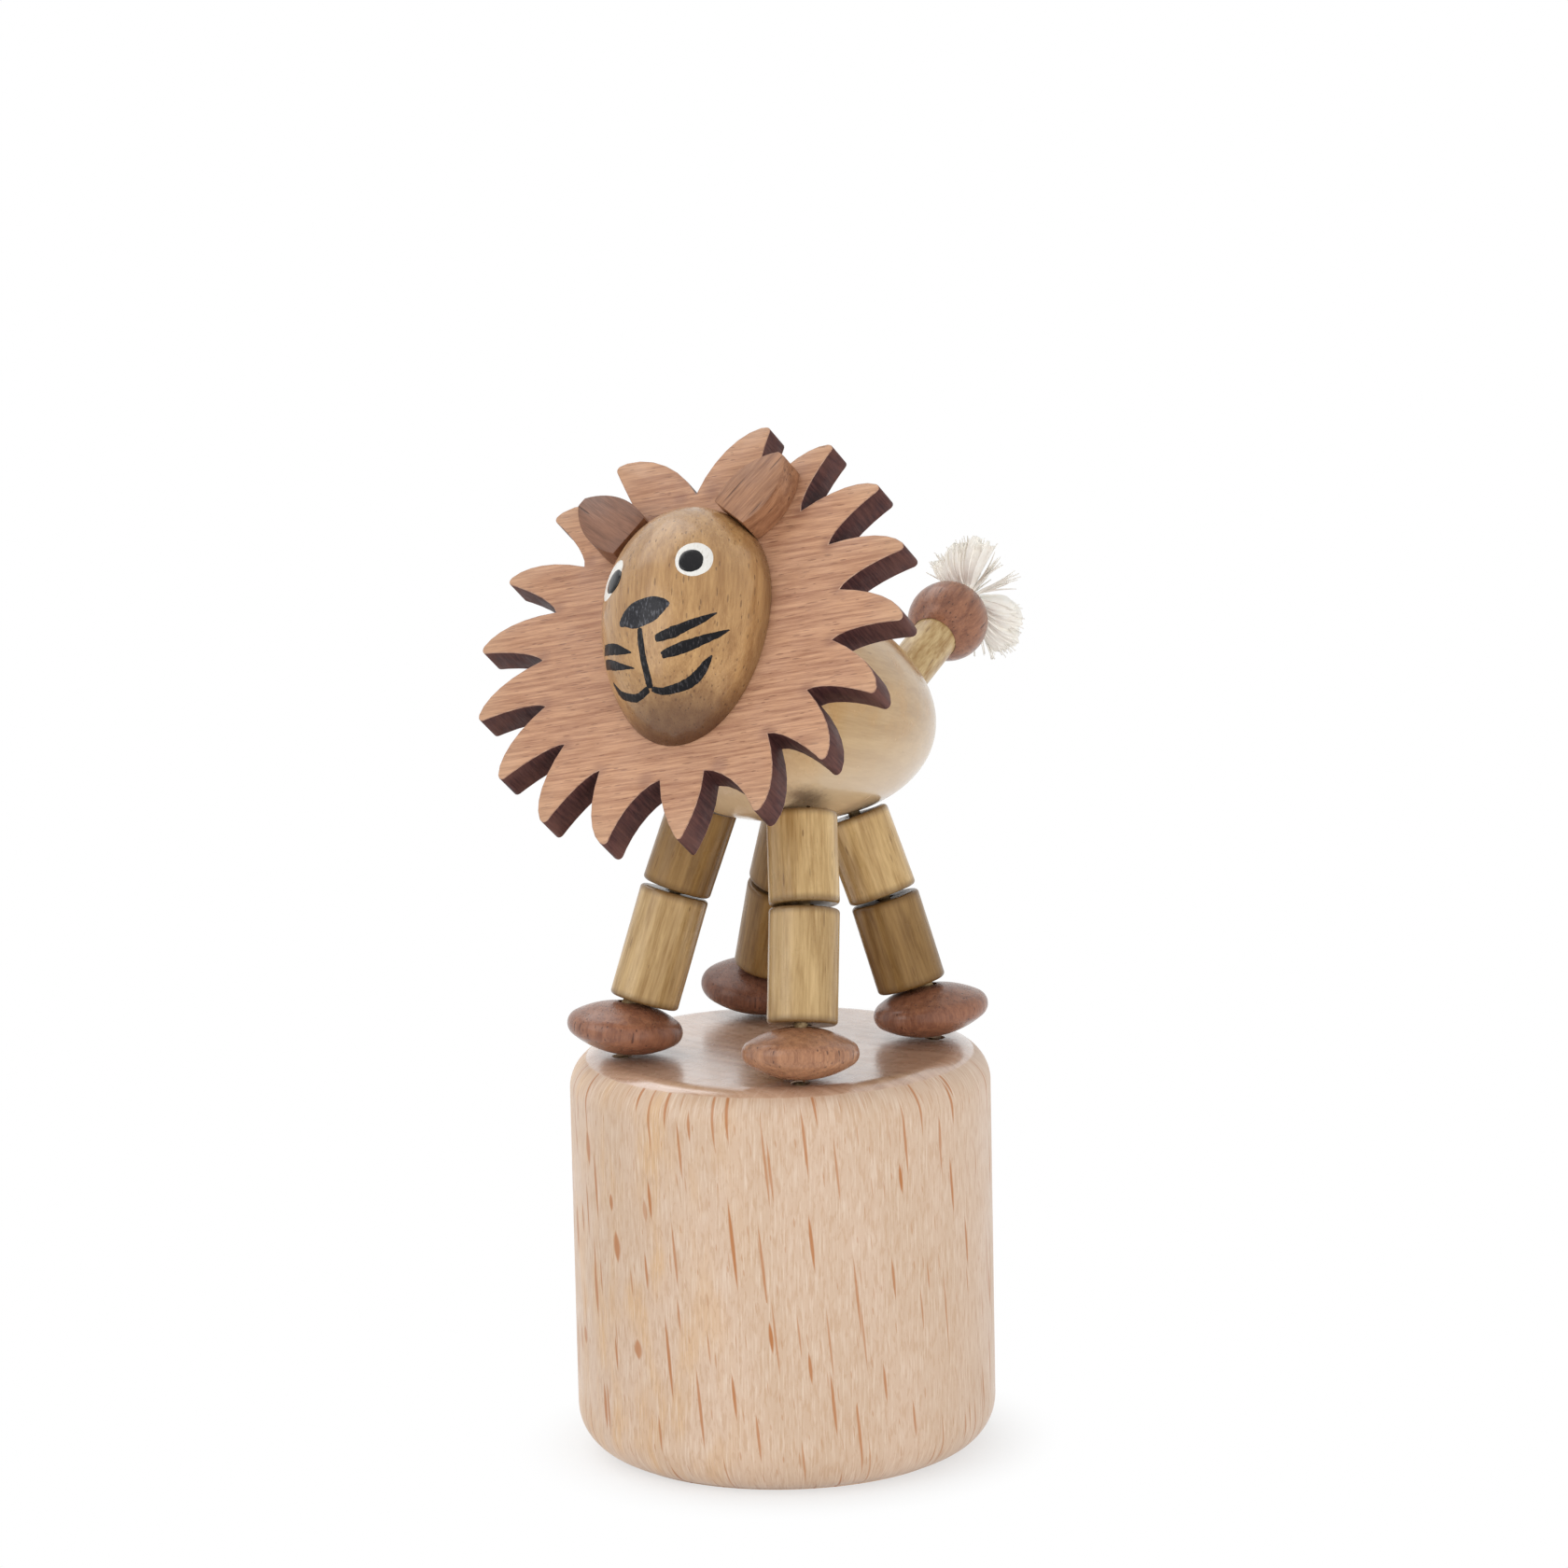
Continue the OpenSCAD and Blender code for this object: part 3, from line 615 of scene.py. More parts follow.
def beech_material():
    """The base: pale beech with ray flecks on its side and glossy end grain on its top."""
    material, s, surface = new_material("lacquered beech", BEECH_PALE)
    spot = local_millimetres(s, Matrix.Rotation(math.radians(CAMERA_AZIMUTH), 4, "Z"))
    x, y, z = s.split(spot)
    side, side_height = beech_side(s, s.calc("ARCTAN2", x, s.times(y, -1.0)), z)
    end, end_height = beech_end(s, spot)
    facing_up = s.split(s.add("ShaderNodeTexCoord").outputs["Normal"])[2]
    wander = s.times(s.noise(spot, scale=0.6, detail=2), TOP_WANDER)
    on_top = s.step(s.minus(facing_up, wander), *TOP_FACING)
    side_gloss = handled(s, spot, 0.32, 0.45, patch=4.0)
    top_gloss = handled(s, spot, 0.2, 0.36, patch=1.4)
    height = s.lerp(on_top, side_height, end_height)
    s.fill(surface, {
        "Base Color": s.mix(on_top, side, end),
        "Roughness": s.lerp(on_top, side_gloss, top_gloss),
        "Coat Weight": s.lerp(on_top, SIDE_COAT, TOP_COAT),
        "Coat Roughness": 0.2,
        "Coat IOR": 1.6,
        "Normal": relief(s, height, 0.4, GRAIN_DEPTH)})
    return material


# The scorch on the mane's sawn sides. Its lines run through the plate's thickness, along the
# place's own X, and it grows paler towards the tips between two radii, all in millimetres.
SCORCH_DARK = srgb(62, 36, 37)
SCORCH_LIGHT = srgb(100, 64, 59)
SCORCH_TIP = srgb(122, 85, 75)
SCORCH_LINE = (2.2, 0.22, 0.22)
SCORCH_FADE = (13.5, 18.0)
# The tracks of a paint brush's bristles, in millimetres.
BRISTLE_TRACK = (0.16, 0.5, 0.5)


def charred_material(place):
    """The sawn sides of the mane, scorched purple-brown across the plate."""
    material, s, surface = new_material("scorched edge", srgb(84, 54, 52))
    spot = local_millimetres(s, place)
    lines = s.noise(s.stretch(spot, *SCORCH_LINE), detail=3, roughness=0.65)
    smoke = s.noise(spot, scale=0.5, detail=3)
    across, up, _ = s.split(local_millimetres(s, head))
    tip = s.times(s.step(s.length(across, up), *SCORCH_FADE), s.step(smoke, 0.3, 0.65))
    colour = s.mix(s.step(lines, 0.3, 0.78), SCORCH_DARK, SCORCH_LIGHT)
    s.fill(surface, {
        "Base Color": s.tint(colour, tip, 0.5, SCORCH_TIP),
        "Roughness": handled(s, spot, 0.5, 0.7, patch=1.0),
        "Specular IOR Level": 0.2,
        "Normal": relief(s, lines, 0.5, 0.1)})
    return material


def paint_material(name, colour, thin_paint_and_sheen, smooth, rough, coat=0.0):
    """Brushed enamel, thinner where the bristles skipped over the grain; on the nose the thin
    colour is a painted sheen.
    """
    material, s, surface = new_material(name, colour)
    spot = local_millimetres(s, head)
    streaks = s.noise(s.stretch(spot, *BRISTLE_TRACK), detail=3, roughness=0.6)
    s.fill(surface, {
        "Base Color": s.mix(s.step(streaks, 0.5, 0.72), colour, thin_paint_and_sheen),
        "Roughness": handled(s, spot, smooth, rough, patch=0.8),
        "Specular IOR Level": 0.16,
        "Coat Weight": coat,
        "Coat Roughness": 0.05,
        "Normal": relief(s, streaks, 0.4, 0.05)})
    return material


def cotton_material(name, pale, shade):
    """Cotton strands, greyer in the folds between them."""
    material, s, surface = new_material(name, pale)
    spot = local_millimetres(s, tail)
    strands = s.noise(spot, scale=2.2, detail=3, roughness=0.6)
    s.fill(surface, {
        "Base Color": s.mix(s.step(strands, 0.35, 0.7), shade, pale),
        "Roughness": handled(s, spot, 0.75, 0.95, patch=1.0),
        "Specular IOR Level": 0.1})
    return material


def steel_material():
    """Drawn spring wire with faint die lines."""
    material, s, surface = new_material("spring steel", srgb(190, 190, 188))
    spot = local_millimetres(s, Matrix.Identity(4))
    lines = s.noise(spot, scale=3.0, detail=3)
    s.fill(surface, {
        "Base Color": s.mix(s.step(lines, 0.3, 0.7), srgb(150, 150, 150), srgb(205, 204, 200)),
        "Metallic": 1,
        "Roughness": handled(s, spot, 0.25, 0.42, patch=1.0)})
    return material


def dress(thing, *materials):
    thing.data.materials.clear()
    for material in materials:
        thing.data.materials.append(material)


# Mesh helpers.
def add_piece(name, mesh, body, slot, *materials):
    mesh.name = name
    piece = bpy.data.objects.new(name, mesh)
    bpy.context.scene.collection.objects.link(piece)
    dress(piece, *materials)
    if body:
        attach(piece, body)
    return piece


def smooth_curve(points, steps):
    """A curve through every point, with this many steps between neighbours."""
    ends = [points[0] * 2 - points[1]] + list(points) + [points[-1] * 2 - points[-2]]
    run = []
    for a, b, c, d in zip(ends, ends[1:], ends[2:], ends[3:]):
        for i in range(steps):
            t = i / steps
            run.append(((b * 2) + (c - a) * t + (a * 2 - b * 5 + c * 4 - d) * t * t
                        + (b * 3 - a - c * 3 + d) * t * t * t) / 2)
    return run + [points[-1]]


def heading(run, i):
    """The way that a run of points goes at one of them."""
    return (run[min(i + 1, len(run) - 1)] - run[max(i - 1, 0)]).normalized()


def shade_smooth(mesh, sharp_angle=None):
    """Smooth shading, broken at edges that turn by more than an angle in degrees."""
    mesh.polygons.foreach_set("use_smooth", [True] * len(mesh.polygons))
    if sharp_angle:
        mesh.set_sharp_from_angle(angle=math.radians(sharp_angle))
    return mesh


def tube_mesh(runs, radius, sides=10):
    """Closed round tubes along runs of points. Radius is a number or a rule of 0 to 1."""
    mesh_points, faces = [], []
    for run in runs:
        first = len(mesh_points)
        normal = None
        for i, point in enumerate(run):
            ahead = heading(run, i)
            if normal is None:
                normal = ahead.orthogonal().normalized()
            normal = (normal - ahead * ahead.dot(normal)).normalized()
            other = ahead.cross(normal)
            r = radius(i / (len(run) - 1)) if callable(radius) else radius
            for k in range(sides):
                angle = 2 * math.pi * k / sides
                mesh_points.append(
                    point + (normal * math.cos(angle) + other * math.sin(angle)) * r)
        for i in range(len(run) - 1):
            for k in range(sides):
                a, b = first + i * sides + k, first + i * sides + (k + 1) % sides
                faces.append((a, b, b + sides, a + sides))
        last = first + (len(run) - 1) * sides
        faces.append(tuple(first + k for k in reversed(range(sides))))
        faces.append(tuple(last + k for k in range(sides)))
    mesh = bpy.data.meshes.new("tube")
    mesh.from_pydata(mesh_points, [], faces)
    return shade_smooth(mesh)


def sheet_mesh(name, top, root, wide):
    """A closed sheet between two grids of points, each laid out row by row."""
    count = len(top)
    tall = count // wide
    faces = []
    for i in range(tall - 1):
        for j in range(wide - 1):
            a, d = i * wide + j, (i + 1) * wide + j
            faces += [(a, a + 1, d + 1, d), (d + count, d + 1 + count, a + 1 + count, a + count)]
    rim = (list(range(wide)) + [i * wide + wide - 1 for i in range(1, tall)]
           + [(tall - 1) * wide + j for j in reversed(range(wide - 1))]
           + [i * wide for i in reversed(range(1, tall - 1))])
    for a, b in zip(rim, rim[1:] + rim[:1]):
        faces.append((b, a, a + count, b + count))
    mesh = bpy.data.meshes.new(name)
    mesh.from_pydata(list(top) + list(root), [], faces)
    shape = bmesh.new()
    shape.from_mesh(mesh)
    bmesh.ops.recalc_face_normals(shape, faces=shape.faces)
    shape.to_mesh(mesh)
    shape.free()
    return shade_smooth(mesh, 50)


def joined_mesh(name, meshes):
    shape = bmesh.new()
    for mesh in meshes:
        shape.from_mesh(mesh)
    mesh = bpy.data.meshes.new(name)
    shape.to_mesh(mesh)
    shape.free()
    return mesh


# Points this close, in metres, are one, and faces that turn by less, in degrees, are flat.
WELD = 2e-6
FLAT = 0.4


def softened_mesh(node, width, sharp_angle=35, tips=None):
    """A CAD node's shape with sharp edges lightly rounded, after any tips (a rule, a width)."""
    shape = bmesh.new()
    shape.from_mesh(nodes[node].data)
    bmesh.ops.remove_doubles(shape, verts=shape.verts, dist=WELD)
    bmesh.ops.dissolve_limit(
        shape, angle_limit=math.radians(FLAT), verts=shape.verts, edges=shape.edges)

    def round_off(rule, offset, segments):
        sharp = [e for e in shape.edges if e.is_manifold and rule(e)
                 and e.calc_face_angle() > math.radians(sharp_angle)]
        bmesh.ops.bevel(shape, geom=sharp, offset=offset * MM, segments=segments, profile=0.5,
                        affect="EDGES", clamp_overlap=True)

    if tips:
        round_off(*tips, segments=5)
    round_off(lambda edge: True, width, segments=2)
    mesh = bpy.data.meshes.new(node)
    shape.to_mesh(mesh)
    shape.free()
    return shade_smooth(mesh, 40)


# Base, legs, torso and tail, each with its grain along the piece it dresses.
def grain_along(thread):
    """Axes with Z along a thread, and that thread's two ends on Z in millimetres."""
    start, end = rod_ends(thread)
    place = axes_at(Vector(), end - start)
    return place, [(place.inverted() @ point).z / MM for point in (start, end)]


def dress_base():
    dress(nodes["base_block"], beech_material())
    button = WoodFinish("button beech", Matrix.Identity(4), BUTTON_WOOD)
    dress(nodes["push_button"], button.finish())


def dress_legs():
    for leg in LEGS:
        for part in ("lower", "upper"):
            place, (low, high) = grain_along(f"{leg}_{part}_thread")
            kind = LEG_WOODS.get(f"{leg}_{part}", LEG_WOOD)
            wood = WoodFinish(f"{leg} {part} leg wood", place, kind)
            s = wood.shader
            z = s.split(wood.spot)[2]
            from_end = s.calc("MINIMUM", s.minus(z, low), s.minus(high, z))
            wood.tint(s.step(from_end, *LEG_END_FADE), 0.75, LEG_END_STAIN)
            dress(nodes[f"{leg}_{part}_leg"], wood.finish())
        place, _ = grain_along(f"{leg}_foot_thread")
        dress(nodes[f"{leg}_foot"], WoodFinish(f"{leg} foot wood", place, FOOT_WOODS[leg]).finish())


def dress_torso():
    wood = WoodFinish("torso wood", torso, TORSO_WOOD)
    s = wood.shader
    centre = torso.inverted() @ (Vector(CHEST_DARK_SPOT) * MM) / MM
    reach = s.size(s.stretch(s.offset(wood.spot, centre), *CHEST_DARK_SIZE))
    ragged = s.plus(reach, s.noise(wood.spot, scale=1.4, detail=4, roughness=0.65))
    up = s.split(local_millimetres(s, Matrix.Translation(torso.translation)))[2]
    patches = s.noise(wood.spot, scale=0.4, detail=3)
    wood.tint(s.step(patches, 0.48, 0.7), 0.4, TORSO_HONEY)
    # Painted reflected light, paler towards the torso's underside.
    wood.tint(s.step(up, 0.0, BOUNCE_DROP), 0.6, TORSO_PAINTED_BOUNCE)
    # A darker patch on the chest above the front left leg.
    wood.tint(s.step(ragged, 1.5, 0.6), 0.75, CHEST_DARK_COLOUR)
    dress(nodes["torso"], wood.finish())
    dress(nodes["tail_stem"], WoodFinish("tail wood", tail, TAIL_WOOD).finish())
    dress(nodes["tail_bead"], WoodFinish("tail bead wood", tail, TAIL_BEAD_WOOD).finish())


# The head: mane plate, face, ears and paint. Edges are rounded by these widths in millimetres.
MANE_SOFTNESS, TIP_SOFTNESS, EAR_SOFTNESS = 0.1, 0.5, 0.15
# The mane's edges turn by more than this, in degrees.
MANE_SHARP_ANGLE = 25
# Faces this square to the mane's front are its plate, and those past the second its rounded edge.
PLATE_FACING, EDGE_FACING = 0.97, 0.35


def mane_marks(s):
    """Smoke stain round the root of every saw notch in the mane, and its paler tooth tips."""
    x, y, _ = s.split(local_millimetres(s, head))
    turn = s.minus(s.calc("ABSOLUTE", s.calc("ARCTAN2", x, y)), math.radians(NOTCH_START))
    beside = s.times(s.calc("PINGPONG", turn, math.radians(NOTCH_STEP) / 2), NOTCH_RADIUS)
    out = s.length(x, y)
    from_root = s.length(beside, s.minus(out, NOTCH_RADIUS))
    return s.step(from_root, *SMOKE_FADE), s.step(out, *TIP_FADE)


def make_mane():
    turn = math.radians(PLATE_GRAIN)
    place = axes_at(head.translation, head_x * math.cos(turn) + head_y * math.sin(turn), head_z)
    wood = WoodFinish("mane wood", place, MANE_WOOD)
    smoke, tips = mane_marks(wood.shader)
    wood.tint(tips, 0.3, MANE_TIP_COLOUR)
    wood.tint(smoke, 0.4, SMOKE_COLOUR)
    rounded = WoodFinish("mane edge wood", place, MANE_EDGE_WOOD).finish()

    def is_tip(edge):
        a, b = (head.inverted() @ vertex.co / MM for vertex in edge.verts)
        return abs((a - b).normalized().z) > 0.95 and math.hypot(a.x, a.y) > TIP_RADIUS

    mesh = softened_mesh("mane", MANE_SOFTNESS, MANE_SHARP_ANGLE, (is_tip, TIP_SOFTNESS))
    piece = add_piece(
        "mane_plate", mesh, "head", "mane_wood", wood.finish(), charred_material(place), rounded)
    for polygon in mesh.polygons:
        facing = abs(polygon.normal.dot(head_z))
        polygon.material_index = 0 if facing > PLATE_FACING else 2 if facing > EDGE_FACING else 1
    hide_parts("mane")


def make_ears():
    for side, lean, kind in (("left", -1, EAR_WOOD), ("right", 1, DARK_EAR_WOOD)):
        turn = math.radians(EAR_ANGLE * lean)
        grain = head_y * math.cos(turn) - head_x * math.sin(turn)
        wood = WoodFinish(f"{side} ear wood", axes_at(Vector(), grain), kind).finish()
        mesh = softened_mesh(f"{side}_ear", EAR_SOFTNESS)
        piece = add_piece(f"{side}_ear_leaf", mesh, "head", "ear_wood", wood)
        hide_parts(f"{side}_ear")


def dress_face():
    wood = WoodFinish("face wood", axes_at(head.translation, head_y), FACE_WOOD)
    s = wood.shader
    _, y, z = s.split(local_millimetres(s, head))
    # Stain and painted shade down the chin and towards the mane.
    wood.tint(s.step(y, *CHIN_FADE), 0.75, FACE_STAIN_AND_SHADE)
    wood.tint(s.step(z, *CHEEK_FADE), 0.55, FACE_STAIN_AND_SHADE)
    dress(nodes["face"], wood.finish())


# Paint on the face, in millimetres across and up it from the mane's middle.
# Eyes: the white's middle and half size, the pupil's, their turn in degrees, and a seed.
EYES = [
    ("left", (3.0, 2.57), (1.27, 1.6), (2.85, 2.37), (0.9, 1.13), -4, 3),
    ("right", (-4.1, 2.95), (1.15, 1.65), (-3.75, 2.5), (0.85, 1.0), -20, 5),
]
EYE_WHITE_THICK, PUPIL_THICK = 0.09, 0.15
NOSE = [(-3.11, -1.67), (-2.74, -0.93), (-1.72, -0.42), (-0.24, -0.3), (0.96, -0.59),
        (1.63, -1.13), (1.06, -1.79), (0.25, -2.36), (-1.19, -2.59), (-2.28, -2.15)]
# Strokes: points along each, and half widths at equal shares of its length.
STROKES = [
    ("muzzle_line", [(-1.04, -2.4), (-1.0, -4.57), (-0.84, -6.38), (-0.87, -6.81)],
     [0.28, 0.29, 0.31, 0.25]),
    ("left_mouth", [(-0.87, -6.81), (0.26, -7.17), (1.78, -6.92), (2.79, -6.26), (3.45, -5.44),
                    (3.94, -4.75)], [0.22, 0.26, 0.33, 0.32, 0.22, 0.04]),
    ("right_mouth", [(-0.95, -6.8), (-1.23, -6.85), (-2.31, -6.91), (-3.71, -6.08),
                     (-4.36, -5.2), (-4.68, -4.61)], [0.22, 0.26, 0.26, 0.22, 0.12, 0.04]),
    ("left_upper_whisker", [(0.07, -3.69), (1.57, -3.35), (3.31, -2.54), (4.58, -1.64)],
     [0.35, 0.47, 0.3, 0.04]),
    ("left_lower_whisker", [(0.4, -4.93), (2.26, -4.44), (4.11, -3.49), (5.14, -2.67)],
     [0.35, 0.46, 0.25, 0.03]),
    ("right_upper_whisker", [(-5.48, -1.92), (-3.73, -3.03), (-2.81, -3.61), (-1.92, -4.1)],
     [0.42, 0.4, 0.26, 0.05]),
    ("right_lower_whisker", [(-5.65, -2.72), (-3.99, -4.02), (-3.03, -4.62), (-1.81, -5.23)],
     [0.33, 0.32, 0.2, 0.04]),
]
STROKE_SEED = 8
# How unsteady the hand is round an oval and along a stroke, and the points round an oval.
OVAL_LOOSE, STROKE_LOOSE = 0.012, 0.06
OVAL_POINTS = 14


def oval(centre, half, turn, seed):
    """Points round a hand-painted oval, turned in degrees."""
    chance = random.Random(seed)
    c, s = math.cos(math.radians(turn)), math.sin(math.radians(turn))
    points = []
    for i in range(OVAL_POINTS):
        angle = 2 * math.pi * i / OVAL_POINTS
        u = half[0] * math.cos(angle) * (1 + chance.uniform(-OVAL_LOOSE, OVAL_LOOSE))
        v = half[1] * math.sin(angle) * (1 + chance.uniform(-OVAL_LOOSE, OVAL_LOOSE))
        points.append((centre[0] + u * c - v * s, centre[1] + u * s + v * c))
    return points


def crown(out):
    """How thick paint lies: 1 in its middle and 0 at its edge, where out is 1."""
    return math.sqrt(max(0, 1 - out ** 4))


class FacePaint:
    """Lays thin coats of paint on the domed face, by millimetres across and up it."""
    COAT = 0.05
    # A coat's root lies this deep in the wood, and its edge this deep below the surface.
    ROOT = 0.15
    SUNK = 0.012
    # Rays towards the face start this far out from the mane's back.
    OUTSIDE = 20
    CURVE_STEPS = 8
    PATCH_STEPS = 14
    # Points across a stroke, as shares of its half width.
    BRISTLES = (-1, -0.7, -0.35, 0, 0.35, 0.7, 1)

    def __init__(self):
        mesh = nodes["face"].data
        self.dome = BVHTree.FromPolygons(
            [v.co for v in mesh.vertices], [tuple(p.vertices) for p in mesh.polygons])

    def spot(self, x, y):
        start = head @ Vector((x * MM, y * MM, self.OUTSIDE * MM))
        point, normal, _, _ = self.dome.ray_cast(start, -head_z)
        if point is None:
            raise ValueError(f"no face under the paint at {x}, {y}")
        return point, normal if normal.dot(head_z) > 0 else -normal

    def coat(self, name, rows, thick, material):
        """rows holds (x, y, share) points; share is 0 at the paint's edge and 1 at its thickest."""
        top, root = [], []
        for row in rows:
            for x, y, share in row:
                point, normal = self.spot(x, y)
                top.append(point + normal * (thick * share - self.SUNK) * MM)
                root.append(point - normal * self.ROOT * MM)
        add_piece(name, sheet_mesh(name, top, root, len(rows[0])), "head", None, material)

    def patch(self, name, outline, material, thick=COAT):
        """A filled patch inside an outline that every ray from its middle meets once."""
        points = [Vector((x, y, 0)) for x, y in outline]
        middle = sum(points, Vector()) / len(points)
        spare = 2 * self.CURVE_STEPS
        edge = smooth_curve(points[-2:] + points + points[:3], self.CURVE_STEPS)[spare:-spare]
        edge = [p - middle for p in edge]
        angles = np.unwrap([math.atan2(p.y, p.x) for p in edge])
        order = 1 if angles[-1] > angles[0] else -1
        low = min(angles[0], angles[-1])
        lengths = [p.length for p in edge]
        rows = []
        for i in range(self.PATCH_STEPS + 1):
            row = []
            for j in range(self.PATCH_STEPS + 1):
                a, b = 2 * j / self.PATCH_STEPS - 1, 2 * i / self.PATCH_STEPS - 1
                u, v = a * math.sqrt(1 - b * b / 2), b * math.sqrt(1 - a * a / 2)
                reach = min(1, math.hypot(u, v))
                angle = low + (math.atan2(v, u) - low) % (2 * math.pi)
                far = np.interp(angle, angles[::order], lengths[::order]) * reach
                row.append((middle.x + math.cos(angle) * far, middle.y + math.sin(angle) * far,
                            crown(reach)))
            rows.append(row)
        self.coat(name, rows, thick, material)

    def stroke(self, name, points, widths, material, seed):
        """A brush stroke through a few points, with its half width at shares of its length."""
        chance = random.Random(seed)
        line = smooth_curve([Vector((x, y, 0)) for x, y in points], self.CURVE_STEPS)
        last = len(line) - 1
        rows = []
        for i, point in enumerate(line):
            half = np.interp(i / last, np.linspace(0, 1, len(widths)), widths)
            ahead = heading(line, i)
            across = Vector((-ahead.y, ahead.x, 0))
            left = half * (1 + chance.uniform(-STROKE_LOOSE, STROKE_LOOSE))
            right = half * (1 + chance.uniform(-STROKE_LOOSE, STROKE_LOOSE))
            # Paint thins over the first and the last quarter of a stroke.
            end = min(1, 4 * min(i, last - i) / last + 0.15)
            row = []
            for w in self.BRISTLES:
                spot = point + across * (w * (left if w < 0 else right))
                row.append((spot.x, spot.y, crown(w) * end))
            rows.append(row)
        self.coat(name, rows, self.COAT, material)


def paint_face():
    black = paint_material("black enamel", srgb(20, 19, 22), srgb(70, 67, 69), 0.3, 0.5)
    glossy = paint_material(
        "glossy black enamel", srgb(14, 14, 17), srgb(26, 25, 27), 0.1, 0.2, coat=0.25)
    # Painted sheen: the nose's pale blue-grey streaks stand in for light reflected off it.
    sheened_enamel = paint_material(
        "brushed black enamel", srgb(32, 32, 37), srgb(98, 98, 104), 0.25, 0.45, coat=0.1)
    white = paint_material("white enamel", srgb(240, 238, 232), srgb(222, 217, 208), 0.2, 0.4)
    brush = FacePaint()
    for side, white_at, white_half, pupil_at, pupil_half, turn, seed in EYES:
        ring = oval(white_at, white_half, turn, seed)
        brush.patch(f"{side}_eye_white", ring, white, EYE_WHITE_THICK)
        pupil = oval(pupil_at, pupil_half, turn, seed + 1)
        brush.patch(f"{side}_pupil", pupil, glossy, PUPIL_THICK)
    brush.patch("nose", NOSE, sheened_enamel)
    for seed, (name, points, widths) in enumerate(STROKES, STROKE_SEED):
        brush.stroke(name, points, widths, black, seed)


# Threads, spring and knots. A bent run of thread reaches this far into the pieces at a joint.
THREAD_REACH = 1.3 * MM
NECK_STEPS = 16
SPRING_WIRE_R = 0.4 * MM
SPRING_TURNS = 6
SPRING_STEPS = 28
DECK_Z = 23 * MM
# A lead leaves the button straight for this length. Its foot, its head and its bend at the deck
# are read from the points this near to them.
LEAD_STRAIGHT = 1.6 * MM
LEAD_FOOT, LEAD_HEAD, LEAD_BEND = 0.02 * MM, 0.4 * MM, 0.6 * MM
# A tied knot beside the ball that it replaces: width, height and thread, and steps round it.
KNOT_WIDTH, KNOT_HEIGHT, KNOT_THREAD = 0.62, 0.5, 0.95
KNOT_STEPS = 60


def make_threads():
    cotton = cotton_material("waxed thread", srgb(190, 166, 128), srgb(146, 120, 86))
    for node in nodes:
        if node.endswith("_thread"):
            dress(nodes[node], cotton)

    def add_run(name, run):
        return add_piece(name, tube_mesh([run], thread_r), None, "thread", cotton)

    for leg in LEGS:
        foot, lower, upper = (
            rod_ends(f"{leg}_{part}_thread") for part in ("foot", "lower", "upper"))
        crossings = [
            ("ankle", foot, lower[0], lower[1] - lower[0], f"{leg}_foot", f"{leg}_lower"),
            ("knee", lower, upper[0], upper[1] - upper[0], f"{leg}_lower", f"{leg}_upper"),
            ("hip", upper, upper[1], upper[1] - upper[0], f"{leg}_upper", "torso")]
        for name, below, above, onward, low_body, high_body in crossings:
            inward = (below[0] - below[1]).normalized() * THREAD_REACH
            onward = onward.normalized() * THREAD_REACH
            run = smooth_curve(
                [below[1] + inward, below[1], above + onward * 0.2, above + onward], 5)
            piece = add_run(f"{leg}_{name}_thread_run", run)
            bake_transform(piece)
    # The neck's thread is a straight run that stays put inside the torso.
    inner, outer = sorted(rod_ends("neck_thread"), key=neck_axis.dot)
    onward = (outer - inner).normalized() * THREAD_REACH
    run = [inner.lerp(outer, i / NECK_STEPS) for i in range(NECK_STEPS + 1)]
    piece = add_run("neck_thread_run", run)
    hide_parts("neck_thread")
    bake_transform(piece)
    return cotton


def squash_with_button(piece):
    """Gives a piece a mesh of its own."""
    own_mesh(piece)


def make_spring():
    low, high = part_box("return_spring")
    mean = half_width("return_spring") - SPRING_WIRE_R
    steps = SPRING_TURNS * SPRING_STEPS
    coil = []
    for i in range(steps + 1):
        share = i / steps
        angle = 2 * math.pi * SPRING_TURNS * share
        rise = low.z + SPRING_WIRE_R + (high.z - low.z - 2 * SPRING_WIRE_R) * share
        coil.append(Vector((mean * math.cos(angle), mean * math.sin(angle), rise)))
    spring = add_piece(
        "spring_coil", tube_mesh([coil], SPRING_WIRE_R), "base", "spring_steel", steel_material())
    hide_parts("return_spring")
    squash_with_button(spring)


def knot_loop(middle, size):
    """A thread's way round a knot with three lobes."""
    loop = []
    for i in range(KNOT_STEPS + 1):
        t = 2 * math.pi * i / KNOT_STEPS
        loop.append(middle + Vector((
            (math.sin(t) + 2 * math.sin(2 * t)) / 3 * size * KNOT_WIDTH,
            (math.cos(t) - 2 * math.cos(2 * t)) / 3 * size * KNOT_WIDTH,
            -math.sin(3 * t) * size * KNOT_HEIGHT)))
    return loop


